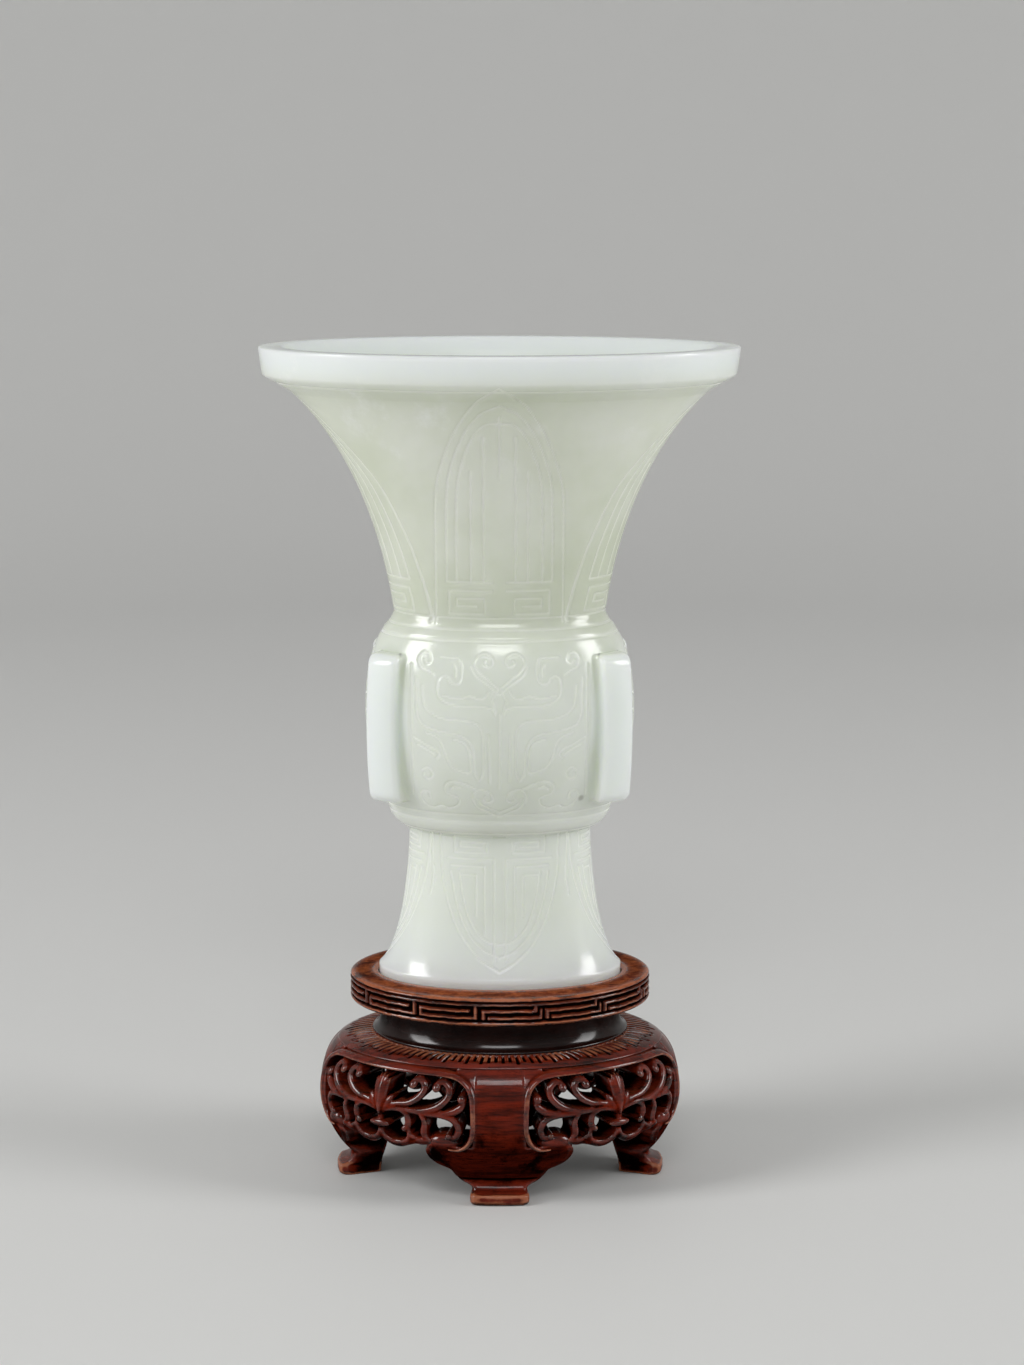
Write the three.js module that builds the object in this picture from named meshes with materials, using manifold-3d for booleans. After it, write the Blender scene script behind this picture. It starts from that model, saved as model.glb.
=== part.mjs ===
// A flattened jade gu vase standing in a carved hardwood stand.
// Millimetres, +Z up. The origin is on the table, under the middle of the stand. The front faces -Y.
// Every horizontal section is an oval: widths run along X and depths along Y.
import * as THREE from 'three';
import { mergeVertices } from 'three/addons/utils/BufferGeometryUtils.js';
import Module from 'manifold-3d';

const wasm = await Module();
wasm.setup();

// Fits
const FOOT_CLEARANCE = 0.3;
const JOINT_CLEARANCE = 0.3;
const CUT_OVERRUN = 1;

// Fineness of the facets
const SECTION_SEGMENTS = 40;
const CURVE_STEPS = 3;
const LONG_CURVE_STEPS = 6;
const WALK_STEPS = 24;
const WELD_DISTANCE = 1e-4;

// Vase, heights measured from its own foot
const VASE_HEIGHT = 179.6;
const FOOT_WIDTH = 68;
const FOOT_DEPTH = 41.2;
const FOOT_BAND_HEIGHT = 6.6;
const FOOT_RIM_WALL = 6.5;
const FOOT_RECESS = 5;
const FOOT_EDGE = 0.8;
const STEM_WIDTH = 50.4;
const STEM_DEPTH = 32;
const STEM_TOP = 46.4;
const BELLY_BASE_WIDTH = 62;
const BELLY_BASE_DEPTH = 39.6;
const BELLY_BASE = 52.4;
const BELLY_SWELL = 5.2;
const BELLY_CROWN_WIDTH = 66;
const BELLY_CROWN_DEPTH = 42.6;
const BELLY_CROWN = 100.9;
const NECK_WIDTH = 58.4;
const NECK_DEPTH = 36;
const NECK_LEVEL = 107.1;
const LIP_WIDTH = 130.8;
const LIP_DEPTH = 82.4;
const LIP_BAND = 8.6;
const LIP_TAPER = 0.9;
const LIP_UNDERCUT = 6.5;
const LIP_UNDERCUT_HEIGHT = 3.2;
const LIP_EDGE = 0.5;
const LIP_WALL = 6.3;
const NECK_WALL = 6.8;
const WELL_WIDTH = 50;
const WELL_DEPTH = 28;
const WELL_FLOOR = 58;
const WELL_ROUNDING = 6.8;

// Flanges on the vase belly
const FLANGE_BEARING = THREE.MathUtils.degToRad(54);
const FLANGE_WIDTH = 9;
const FLANGE_REACH = 5.6;
const FLANGE_ROOT = 5;
const FLANGE_BOW = 1.6;
const FLANGE_CORNER = 3;
const FLANGE_BOTTOM = 56;
const FLANGE_TOP = 97.4;

// Stand rim, the floor of its seat, and the waist below
const RIM_WIDTH = 84.4;
const RIM_DEPTH = 61.2;
const RIM_HEIGHT = 7.8;
const RIM_EDGE = 1;
const SEAT_SINK = 4.5;
const PANEL_LAP = 2;
const WAIST_HEIGHT = 7.5;
const WAIST_SIDE_STEP = 1.5;
const WAIST_FRONT_STEP = 5.9;
const WAIST_FILLET = 1.2;
const WAIST_SCOTIA = 3;
const WAIST_BORE_WIDTH = 54;
const WAIST_BORE_DEPTH = 31;
const SPIGOT_WALL = 3;
const SPIGOT_HEIGHT = 1.6;

// Shoulder moulding
const SHOULDER_HEIGHT = 5.5;
const SHOULDER_WIDTH = 92;
const SHOULDER_DEPTH = 63;
const SHOULDER_EDGE = 0.9;

// Legs and aprons, which follow one swelling oval drum
const LEG_HEIGHT = 38.5;
const DRUM_WIDTH = 101.8;
const DRUM_DEPTH = 72.8;
const DRUM_SWELL_LEVEL = 26;
const ANKLE_WIDTH = 84.4;
const ANKLE_DEPTH = 55.4;
const ANKLE_LEVEL = 7;
const TOE_WIDTH = 93;
const TOE_DEPTH = 62;
const TOE_LEVEL = 3;
const TOE_EDGE = 0.8;
const LEG_WALL = 8;
const FOOT_PAD_LENGTH = 13;
const LEG_HALF = 7.2;
const WING_HALF = 22;
const WING_TOP = 21;
const WING_DROP = 4.5;
const CUSP_HALF = 13.6;
const CUSP_DROP = 3;
const PAD_HALF = 7.8;
const PAD_HEIGHT = 5.2;
const SIDE_WING_HALF = 17;
const SIDE_CUSP_HALF = 9.6;
const APRON_WALL = 5;
const APRON_SET_BACK = 0.7;
const APRON_BOTTOM = 16.5;
const TENON_WIDTH = 7;
const TENON_THICKNESS = 3;
const TENON_HEIGHT = 2.2;
const TENON_SET_BACK = 6;
const TONGUE_LENGTH = 1.4;
const TONGUE_THICKNESS = 2;
const TONGUE_BOTTOM = 23;
const TONGUE_TOP = 36.5;

// Openwork of an apron: holes either side of its bud, placed along the drum and in height
const BUD_BEARING = THREE.MathUtils.degToRad(41);
const BUD_WIDTH = 6.4;
const HOLE_BAR = 1.9;
const UPPER_HOLES = 3;
const UPPER_HOLE_WIDTH = 4.7;
const UPPER_HOLE_HEIGHT = 6.6;
const UPPER_HOLE_LEVEL = 33;
const LOWER_HOLES = 2;
const LOWER_HOLE_WIDTH = 6.2;
const LOWER_HOLE_HEIGHT = 4.6;
const LOWER_HOLE_LEVEL = 25.4;
const NOTCH_WIDTH = 5;
const NOTCH_HEIGHT = 3.4;

// Curves between two ovals: two bends, each a share of the step across and of the step up
const FOOT_CURVE = [[0.64, 0.12], [0.95, 0.58]];
const STEM_CURVE = [[0.55, 0.1], [0.95, 0.6]];
const CROWN_CURVE = [[0.3, 0.4], [0.95, 0.7]];
const TRUMPET_CURVE = [[0.1, 0.33], [0.38, 0.735]];
const LIP_CURVE = [[0.6, 0.4], [0.95, 0.6]];
const MOUTH_CURVE = [[0.43, 0.27], [0.91, 0.69]];
const WELL_CURVE = [[0, 0.4], [1, 0.7]];
const WELL_FLOOR_CURVE = [[0, 0.4], [0.4, 0.9]];
const SHOULDER_CURVE = [[0.1, 0.45], [0.55, 0.95]];
const TOE_CURVE = [[0.6, 0.12], [1, 0.5]];
const ANKLE_CURVE = [[0.35, 0.1], [1, 0.5]];
const DRUM_CURVE = [[0, 0.45], [0.45, 0.85]];
const LEG_INSIDE_CURVE = [[0.1, 0.4], [0.95, 0.6]];
const SWELL_BENDS = [0.27, 0.77];

// Levels that follow from the sizes above
const SHOULDER_BASE = LEG_HEIGHT;
const WAIST_BASE = SHOULDER_BASE + SHOULDER_HEIGHT;
const RIM_BASE = WAIST_BASE + WAIST_HEIGHT;
const RIM_TOP = RIM_BASE + RIM_HEIGHT;
const VASE_BASE = RIM_TOP - SEAT_SINK;

// Half width and half depth of an oval at one height
function oval(width, depth, height) {
  return new THREE.Vector3(width / 2, depth / 2, height);
}

// The same oval drawn in (or out) by the same amount all round, at another height
function inset(from, amount, height = from.z) {
  return new THREE.Vector3(from.x - amount, from.y - amount, height);
}

// A point on the vertical axis
function onAxis(height) {
  return new THREE.Vector3(0, 0, height);
}

// A curved run between two ovals
function sweep(from, to, curve, steps) {
  const step = to.clone().sub(from);
  const bends = curve.map(([across, up]) => new THREE.Vector3(across, across, up).multiply(step).add(from));
  return new THREE.CubicBezierCurve3(from, ...bends, to).getPoints(steps);
}

// A run between two ovals that swells out by a given amount half way; the bends lie a third further out
function swell(from, to, amount, steps) {
  const reach = (amount * 4) / 3;
  const bulge = new THREE.Vector3(reach, reach, 0);
  const bends = SWELL_BENDS.map((share) => from.clone().lerp(to, share).add(bulge));
  return new THREE.CubicBezierCurve3(from, ...bends, to).getPoints(steps);
}

// Leaves out vertices that repeat and triangles that shrink to a line
function welded(geometry) {
  const bare = geometry.clone();
  bare.deleteAttribute('normal');
  bare.deleteAttribute('uv');
  const merged = mergeVertices(bare, WELD_DISTANCE);
  const corners = merged.index.array;
  const kept = [];
  for (let i = 0; i < corners.length; i += 3) {
    const [a, b, c] = corners.slice(i, i + 3);
    if (a !== b && b !== c && c !== a) kept.push(a, b, c);
  }
  merged.setIndex(kept);
  return merged;
}

// Turns a closed run of ovals into a solid ring or vessel
function turned(profile) {
  const outline = profile.map((point) => new THREE.Vector2(point.x, point.z));
  const lathe = new THREE.LatheGeometry(outline, SECTION_SEGMENTS);
  const place = lathe.attributes.position;
  for (let i = 0; i < place.count; i += 1) {
    const point = profile[i % profile.length];
    const turn = (Math.floor(i / profile.length) / SECTION_SEGMENTS) * 2 * Math.PI;
    place.setXYZ(i, point.x * Math.sin(turn), -point.y * Math.cos(turn), point.z);
  }
  return solid(lathe);
}

function solid(geometry) {
  const body = welded(geometry);
  const vertProperties = new Float32Array(body.attributes.position.array);
  const triVerts = new Uint32Array(body.index.array);
  return new wasm.Manifold(new wasm.Mesh({ numProp: 3, vertProperties, triVerts }));
}

function geometryOf(body) {
  const mesh = body.getMesh();
  const geometry = new THREE.BufferGeometry();
  geometry.setAttribute('position', new THREE.BufferAttribute(mesh.vertProperties, 3));
  geometry.setIndex(new THREE.BufferAttribute(mesh.triVerts, 1));
  geometry.computeVertexNormals();
  return geometry;
}

// A block between two corners
function block(low, high) {
  const size = high.clone().sub(low);
  const box = new THREE.BoxGeometry(size.x, size.y, size.z);
  const middle = low.clone().add(high).multiplyScalar(0.5);
  return solid(box.translate(middle.x, middle.y, middle.z));
}

// The level direction at a bearing counted from the front, towards +X
function levelDirection(bearing) {
  return new THREE.Vector3(Math.sin(bearing), -Math.cos(bearing), 0);
}

// An outline drawn in (across, height), pushed through the drum along a level direction
function prism(shape, length, bearing, start = new THREE.Vector3()) {
  const settings = { depth: length, bevelEnabled: false, curveSegments: CURVE_STEPS };
  const body = new THREE.ExtrudeGeometry(shape, settings);
  const outward = levelDirection(bearing);
  const up = new THREE.Vector3(0, 0, 1);
  const across = up.clone().cross(outward);
  const frame = new THREE.Matrix4().makeBasis(across, up, outward).setPosition(start);
  return solid(body.applyMatrix4(frame));
}

// The point and outward bearing of an oval at a turn counted from the front
function onOval(section, turn) {
  const point = new THREE.Vector3(section.x * Math.sin(turn), -section.y * Math.cos(turn), 0);
  const bearing = Math.atan2(Math.sin(turn) / section.x, Math.cos(turn) / section.y);
  return { point, bearing };
}

// The turn reached by walking a distance along an oval
function walkOval(section, turn, distance) {
  let reached = turn;
  for (let i = 0; i < WALK_STEPS; i += 1) {
    const pace = Math.hypot(section.x * Math.cos(reached), section.y * Math.sin(reached));
    reached += distance / WALK_STEPS / pace;
  }
  return reached;
}

// Vase: one stone with a deep well, a recessed underside and four upright flanges
function makeVase() {
  const foot = oval(FOOT_WIDTH, FOOT_DEPTH, 0);
  const footTop = oval(FOOT_WIDTH, FOOT_DEPTH, FOOT_BAND_HEIGHT);
  const stem = oval(STEM_WIDTH, STEM_DEPTH, STEM_TOP);
  const bellyBase = oval(BELLY_BASE_WIDTH, BELLY_BASE_DEPTH, BELLY_BASE);
  const crown = oval(BELLY_CROWN_WIDTH, BELLY_CROWN_DEPTH, BELLY_CROWN);
  const neck = oval(NECK_WIDTH, NECK_DEPTH, NECK_LEVEL);
  const lip = oval(LIP_WIDTH, LIP_DEPTH, VASE_HEIGHT);
  const lipBase = inset(lip, LIP_TAPER, VASE_HEIGHT - LIP_BAND);
  const trumpetTop = inset(lipBase, LIP_UNDERCUT, lipBase.z - LIP_UNDERCUT_HEIGHT);
  const mouth = inset(lip, LIP_WALL);
  const throat = inset(neck, NECK_WALL);
  const well = oval(WELL_WIDTH, WELL_DEPTH, (WELL_FLOOR + NECK_LEVEL) / 2);
  const wellBase = inset(well, WELL_ROUNDING, WELL_FLOOR);
  const recess = inset(foot, FOOT_RIM_WALL, FOOT_RECESS);
  const profile = [
    onAxis(FOOT_RECESS),
    recess,
    inset(foot, FOOT_RIM_WALL),
    inset(foot, FOOT_EDGE),
    inset(foot, 0, FOOT_EDGE),
    ...sweep(footTop, stem, FOOT_CURVE, LONG_CURVE_STEPS),
    ...sweep(stem, bellyBase, STEM_CURVE, CURVE_STEPS).slice(1),
    ...swell(bellyBase, crown, BELLY_SWELL, LONG_CURVE_STEPS).slice(1),
    ...sweep(crown, neck, CROWN_CURVE, CURVE_STEPS).slice(1),
    ...sweep(neck, trumpetTop, TRUMPET_CURVE, LONG_CURVE_STEPS).slice(1),
    ...sweep(trumpetTop, lipBase, LIP_CURVE, CURVE_STEPS).slice(1),
    inset(lip, 0, VASE_HEIGHT - LIP_EDGE),
    inset(lip, LIP_EDGE),
    ...sweep(mouth, throat, MOUTH_CURVE, LONG_CURVE_STEPS),
    ...sweep(throat, well, WELL_CURVE, CURVE_STEPS).slice(1),
    ...sweep(well, wellBase, WELL_FLOOR_CURVE, CURVE_STEPS).slice(1),
    onAxis(WELL_FLOOR),
  ];
  let body = turned(profile);
  const belly = inset(bellyBase.clone().lerp(crown, 0.5), -BELLY_SWELL);
  for (const turn of [FLANGE_BEARING, Math.PI - FLANGE_BEARING, -FLANGE_BEARING, FLANGE_BEARING - Math.PI]) {
    body = body.add(makeFlange(belly, turn));
  }
  return body.translate([0, 0, VASE_BASE]);
}

// One upright flange, drawn as its side outline and given its width
function makeFlange(belly, turn) {
  const { point, bearing } = onOval(belly, turn);
  const face = FLANGE_REACH - FLANGE_BOW;
  const middle = (FLANGE_BOTTOM + FLANGE_TOP) / 2;
  const outline = new THREE.Shape();
  outline.moveTo(-FLANGE_ROOT, FLANGE_BOTTOM);
  outline.lineTo(face - FLANGE_CORNER, FLANGE_BOTTOM);
  outline.quadraticCurveTo(face, FLANGE_BOTTOM, face, FLANGE_BOTTOM + FLANGE_CORNER);
  outline.quadraticCurveTo(face + 2 * FLANGE_BOW, middle, face, FLANGE_TOP - FLANGE_CORNER);
  outline.quadraticCurveTo(face, FLANGE_TOP, face - FLANGE_CORNER, FLANGE_TOP);
  outline.lineTo(-FLANGE_ROOT, FLANGE_TOP);
  const along = bearing - Math.PI / 2;
  const start = point.addScaledVector(levelDirection(along), -FLANGE_WIDTH / 2);
  return prism(outline, FLANGE_WIDTH, along, start);
}

const footOval = oval(FOOT_WIDTH, FOOT_DEPTH, 0);
const seatOval = inset(footOval, -FOOT_CLEARANCE);
const rabbetOval = inset(seatOval, -PANEL_LAP);
const panelOval = inset(rabbetOval, JOINT_CLEARANCE);

// Rim: the oval frame that the vase foot drops into, rabbeted below for the seat floor
function makeRim() {
  const outer = oval(RIM_WIDTH, RIM_DEPTH, 0);
  return turned([
    inset(rabbetOval, 0, RIM_BASE),
    inset(outer, RIM_EDGE, RIM_BASE),
    inset(outer, 0, RIM_BASE + RIM_EDGE),
    inset(outer, 0, RIM_TOP - RIM_EDGE),
    inset(outer, RIM_EDGE, RIM_TOP),
    inset(seatOval, 0, RIM_TOP),
    inset(seatOval, 0, VASE_BASE),
    inset(rabbetOval, 0, VASE_BASE),
    inset(rabbetOval, 0, RIM_BASE),
  ]);
}

// Seat floor: the board under the vase foot, held down by the rim's rabbet
function makeSeatPanel() {
  return turned([
    onAxis(RIM_BASE),
    inset(panelOval, 0, RIM_BASE),
    inset(panelOval, 0, VASE_BASE),
    onAxis(VASE_BASE),
  ]);
}

// The waist stands out a step beyond the vase foot, more at the front than at the sides
const waistOval = oval(FOOT_WIDTH + 2 * WAIST_SIDE_STEP, FOOT_DEPTH + 2 * WAIST_FRONT_STEP, 0);
const boreOval = oval(WAIST_BORE_WIDTH, WAIST_BORE_DEPTH, 0);
const spigotOval = inset(boreOval, -SPIGOT_WALL);

// Waist: a hollow-moulded ring with a low spigot that drops into the shoulder
function makeWaist() {
  const low = inset(waistOval, 0, WAIST_BASE + WAIST_FILLET);
  const high = inset(waistOval, 0, RIM_BASE - WAIST_FILLET);
  return turned([
    inset(boreOval, 0, WAIST_BASE - SPIGOT_HEIGHT),
    inset(spigotOval, 0, WAIST_BASE - SPIGOT_HEIGHT),
    inset(spigotOval, 0, WAIST_BASE),
    inset(waistOval, 0, WAIST_BASE),
    ...swell(low, high, -WAIST_SCOTIA, LONG_CURVE_STEPS),
    inset(waistOval, 0, RIM_BASE),
    inset(boreOval, 0, RIM_BASE),
    inset(boreOval, 0, WAIST_BASE - SPIGOT_HEIGHT),
  ]);
}

// Shoulder: the sloping moulding between the waist and the legs, with a mortise over each leg
function makeShoulder() {
  const socket = inset(spigotOval, -JOINT_CLEARANCE);
  const seat = inset(waistOval, 0, WAIST_BASE);
  const brow = oval(SHOULDER_WIDTH, SHOULDER_DEPTH, SHOULDER_BASE + SHOULDER_EDGE);
  let body = turned([
    inset(socket, 0, SHOULDER_BASE),
    inset(brow, 0, SHOULDER_BASE),
    ...sweep(brow, seat, SHOULDER_CURVE, LONG_CURVE_STEPS),
    inset(socket, 0, WAIST_BASE),
    inset(socket, 0, SHOULDER_BASE),
  ]);
  for (const leg of LEGS) {
    body = body.subtract(makeTenon(leg.bearing, JOINT_CLEARANCE, CUT_OVERRUN));
  }
  return body;
}

const padOval = oval(TOE_WIDTH, TOE_DEPTH, 0);
const ankleOval = oval(ANKLE_WIDTH, ANKLE_DEPTH, ANKLE_LEVEL);
const girthOval = oval(DRUM_WIDTH, DRUM_DEPTH, DRUM_SWELL_LEVEL);
const headOval = oval(SHOULDER_WIDTH, SHOULDER_DEPTH, LEG_HEIGHT);

// The drum's outside, from the table up to the shoulder
function drumSide() {
  return [
    inset(padOval, TOE_EDGE),
    inset(padOval, 0, TOE_EDGE),
    ...sweep(inset(padOval, 0, TOE_LEVEL), ankleOval, TOE_CURVE, CURVE_STEPS),
    ...sweep(ankleOval, girthOval, ANKLE_CURVE, CURVE_STEPS).slice(1),
    ...sweep(girthOval, headOval, DRUM_CURVE, CURVE_STEPS).slice(1),
  ];
}

// A layer of the drum wall between two depths under its outside, down to a given level
function drumLayer(outerDepth, innerDepth, bottom, top) {
  const side = drumSide().filter((point) => point.z >= ANKLE_LEVEL);
  const outer = side.map((point) => inset(point, outerDepth));
  const inner = side.map((point) => inset(point, innerDepth)).reverse();
  const wall = turned([...outer, ...inner, outer[0]]);
  const reach = DRUM_WIDTH;
  const low = new THREE.Vector3(-reach, -reach, bottom);
  const high = new THREE.Vector3(reach, reach, top);
  return wall.intersect(block(low, high));
}

// The drum wall that the legs are sawn from, thickened inwards towards the feet
function legWall() {
  const outer = drumSide();
  const heel = inset(padOval, FOOT_PAD_LENGTH);
  const inner = [
    inset(headOval, LEG_WALL),
    ...sweep(inset(girthOval, LEG_WALL), inset(heel, 0, ANKLE_LEVEL), LEG_INSIDE_CURVE, CURVE_STEPS),
    heel,
  ];
  return turned([...outer, ...inner, outer[0]]);
}

// Elevation of a leg: post, lobed wings, cusp and foot, mirrored about its middle
function legOutline(wingHalf, cuspHalf, slack) {
  const wingTip = WING_TOP - WING_DROP;
  const cusp = wingTip - CUSP_DROP;
  const half = new THREE.Path();
  half.moveTo(PAD_HALF + slack, -CUT_OVERRUN);
  half.lineTo(PAD_HALF + slack, PAD_HEIGHT);
  half.quadraticCurveTo(cuspHalf + slack, PAD_HEIGHT, cuspHalf + slack, cusp - CUSP_DROP);
  half.lineTo(cuspHalf + slack, cusp);
  half.quadraticCurveTo(wingHalf + slack, cusp, wingHalf + slack, wingTip);
  half.quadraticCurveTo(wingHalf + slack, WING_TOP + slack, wingHalf - WING_DROP, WING_TOP + slack);
  half.lineTo(LEG_HALF + slack, WING_TOP + slack);
  half.lineTo(LEG_HALF + slack, LEG_HEIGHT + CUT_OVERRUN);
  const right = half.getPoints(CURVE_STEPS);
  const left = right.map((point) => new THREE.Vector2(-point.x, point.y)).reverse();
  return new THREE.Shape([...right, ...left]);
}

const LEGS = [
  { name: 'leg_front', bearing: 0, wing: WING_HALF, cusp: CUSP_HALF },
  { name: 'leg_right', bearing: Math.PI / 2, wing: SIDE_WING_HALF, cusp: SIDE_CUSP_HALF },
  { name: 'leg_back', bearing: Math.PI, wing: WING_HALF, cusp: CUSP_HALF },
  { name: 'leg_left', bearing: -Math.PI / 2, wing: SIDE_WING_HALF, cusp: SIDE_CUSP_HALF },
];

// The stub on top of a leg, or with a clearance the mortise for it, rooted a given depth below the shoulder
function makeTenon(bearing, slack, root) {
  const { point } = onOval(headOval, bearing);
  const side = TENON_WIDTH / 2 + slack;
  const half = TENON_THICKNESS / 2 + slack;
  const bottom = LEG_HEIGHT - root;
  const top = LEG_HEIGHT + TENON_HEIGHT + slack;
  const shape = new THREE.Shape();
  shape.moveTo(-side, bottom);
  shape.lineTo(side, bottom);
  shape.lineTo(side, top);
  shape.lineTo(-side, top);
  shape.closePath();
  const back = point.length() - TENON_SET_BACK - half;
  return prism(shape, 2 * half, bearing, point.setLength(back));
}

// The corner block of the plan that one apron fills, from one leg to the next
function quadrant(xSign, ySign, offset, bottom, top) {
  const reach = DRUM_WIDTH;
  const low = new THREE.Vector3(xSign > 0 ? offset : -reach, ySign > 0 ? offset : -reach, bottom);
  const high = new THREE.Vector3(xSign > 0 ? reach : -offset, ySign > 0 ? reach : -offset, top);
  return block(low, high);
}

const APRONS = [
  { name: 'apron_front_right', xSign: 1, ySign: -1 },
  { name: 'apron_back_right', xSign: 1, ySign: 1 },
  { name: 'apron_back_left', xSign: -1, ySign: 1 },
  { name: 'apron_front_left', xSign: -1, ySign: -1 },
];

// The tongue along both ends of an apron, or with a clearance the grooves for it
function makeTongue(xSign, ySign, slack) {
  const middle = APRON_SET_BACK + APRON_WALL / 2;
  const half = TONGUE_THICKNESS / 2 + slack;
  const bottom = TONGUE_BOTTOM - slack;
  const top = TONGUE_TOP + slack;
  const layer = drumLayer(middle - half, middle + half, bottom, top);
  const offset = LEG_HALF - TONGUE_LENGTH - slack;
  return layer.intersect(quadrant(xSign, ySign, offset, bottom, top));
}

function makeLeg(leg) {
  const outline = legOutline(leg.wing, leg.cusp, 0);
  let body = legWall().intersect(prism(outline, DRUM_WIDTH, leg.bearing));
  body = body.add(makeTenon(leg.bearing, 0, TENON_HEIGHT));
  for (const apron of APRONS) {
    body = body.subtract(makeTongue(apron.xSign, apron.ySign, JOINT_CLEARANCE));
  }
  return body;
}

const HOLE_ROWS = [
  { count: UPPER_HOLES, width: UPPER_HOLE_WIDTH, height: UPPER_HOLE_HEIGHT, level: UPPER_HOLE_LEVEL },
  { count: LOWER_HOLES, width: LOWER_HOLE_WIDTH, height: LOWER_HOLE_HEIGHT, level: LOWER_HOLE_LEVEL },
];

// One hole right through an apron at a turn of the drum
function apronHole(turn, level, width, height) {
  const { point, bearing } = onOval(girthOval, turn);
  const outline = new THREE.Shape();
  outline.absellipse(0, 0, width / 2, height / 2, 0, 2 * Math.PI);
  const depth = girthOval.x - ankleOval.x + APRON_SET_BACK + APRON_WALL + CUT_OVERRUN;
  const start = point.addScaledVector(levelDirection(bearing), -depth).setZ(level);
  return prism(outline, depth + CUT_OVERRUN, bearing, start);
}

// Apron: a pierced board with a bud in its middle, holes either side and a notched lower edge
function makeApron(apron) {
  const { xSign, ySign } = apron;
  const wall = drumLayer(APRON_SET_BACK, APRON_SET_BACK + APRON_WALL, APRON_BOTTOM, LEG_HEIGHT);
  let body = wall.intersect(quadrant(xSign, ySign, LEG_HALF + JOINT_CLEARANCE, 0, LEG_HEIGHT + CUT_OVERRUN));
  for (const leg of LEGS) {
    const outline = legOutline(leg.wing, leg.cusp, JOINT_CLEARANCE);
    body = body.subtract(prism(outline, DRUM_WIDTH, leg.bearing));
  }
  body = body.add(makeTongue(xSign, ySign, 0));
  const turnAt = (along) => {
    const turn = walkOval(girthOval, BUD_BEARING, along);
    return xSign * (ySign < 0 ? turn : Math.PI - turn);
  };
  for (const { count, width, height, level } of HOLE_ROWS) {
    for (let i = 0; i < count; i += 1) {
      const along = BUD_WIDTH / 2 + width / 2 + i * (width + HOLE_BAR);
      body = body.subtract(apronHole(turnAt(along), level, width, height));
      body = body.subtract(apronHole(turnAt(-along), level, width, height));
    }
  }
  return body.subtract(apronHole(turnAt(0), APRON_BOTTOM, NOTCH_WIDTH, NOTCH_HEIGHT));
}

// Finishes
const paleJade = new THREE.MeshStandardMaterial({ color: 0xd3d9c4, roughness: 0.22, metalness: 0 });
const redWood = new THREE.MeshStandardMaterial({ color: 0x54291c, roughness: 0.4, metalness: 0 });
const darkWood = new THREE.MeshStandardMaterial({ color: 0x2c1610, roughness: 0.45, metalness: 0 });
const wornWood = new THREE.MeshStandardMaterial({ color: 0x6d3a28, roughness: 0.38, metalness: 0 });

const vaseOnStand = new THREE.Group();

function addPiece(name, body, material) {
  const piece = new THREE.Mesh(geometryOf(body), material.clone());
  piece.name = name;
  vaseOnStand.add(piece);
}

addPiece('jade_vase', makeVase(), paleJade);
addPiece('stand_rim', makeRim(), wornWood);
addPiece('seat_panel', makeSeatPanel(), darkWood);
addPiece('waist', makeWaist(), darkWood);
addPiece('shoulder', makeShoulder(), redWood);
for (const leg of LEGS) {
  addPiece(leg.name, makeLeg(leg), redWood);
}
for (const apron of APRONS) {
  addPiece(apron.name, makeApron(apron), redWood);
}

export default vaseOnStand;
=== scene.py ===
"""A jade gu vase in its carved hardwood stand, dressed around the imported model.

Shapes are worked out in millimetres and become metres when a mesh is made.
Turns round an oval are counted from the front, towards +X.
"""

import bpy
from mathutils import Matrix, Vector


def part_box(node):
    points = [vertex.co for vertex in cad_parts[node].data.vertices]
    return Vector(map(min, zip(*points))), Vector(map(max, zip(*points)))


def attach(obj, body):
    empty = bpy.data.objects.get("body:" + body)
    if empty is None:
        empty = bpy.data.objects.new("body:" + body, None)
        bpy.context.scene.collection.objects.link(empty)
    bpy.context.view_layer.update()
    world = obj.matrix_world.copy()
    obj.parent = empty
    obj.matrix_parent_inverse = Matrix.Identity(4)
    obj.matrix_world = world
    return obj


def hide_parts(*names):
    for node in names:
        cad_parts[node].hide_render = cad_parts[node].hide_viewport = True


bl_info = {
    "name": "Jade gu vase on a hardwood stand",
    "version": (1, 0, 0),
    "blender": (4, 5, 0),
    "location": "View3D > Sidebar > Gu vase",
    "description": "Carves the vase and its stand around the packed model and sets the studio",
    "category": "Object",
}

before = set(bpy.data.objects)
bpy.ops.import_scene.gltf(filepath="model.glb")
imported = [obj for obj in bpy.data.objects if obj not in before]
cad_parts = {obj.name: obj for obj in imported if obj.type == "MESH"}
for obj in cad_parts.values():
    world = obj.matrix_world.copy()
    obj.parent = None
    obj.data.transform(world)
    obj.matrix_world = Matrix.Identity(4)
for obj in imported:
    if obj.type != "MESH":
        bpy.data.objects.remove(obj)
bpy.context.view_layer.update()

import math

import bpy
import numpy as np
from bpy.props import FloatProperty, FloatVectorProperty, IntProperty, PointerProperty
from mathutils import Vector

MM = 0.001
TINY = 1e-6
NEARLY_ZERO = 1e-9


def span(node):
    """Lowest and highest corner of a node at rest, in millimetres."""
    low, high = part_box(node)
    return np.array(low) / MM, np.array(high) / MM


# Places that come from the frame
VASE_LOW, VASE_HIGH = span("jade_vase")
RIM_LOW, RIM_HIGH = span("stand_rim")
WAIST_LOW, WAIST_HIGH = span("waist")
SHOULDER_LOW, SHOULDER_HIGH = span("shoulder")
VASE_BASE = VASE_LOW[2]
RIM_BASE = RIM_LOW[2]
RIM_TOP = RIM_HIGH[2]
WAIST_BASE = SHOULDER_HIGH[2]
BROW_RISE = 0.8
WAIST_DROP = 1.6
SHOULDER_BASE = SHOULDER_LOW[2] + BROW_RISE
WAIST_FOOT = WAIST_BASE - WAIST_DROP

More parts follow.
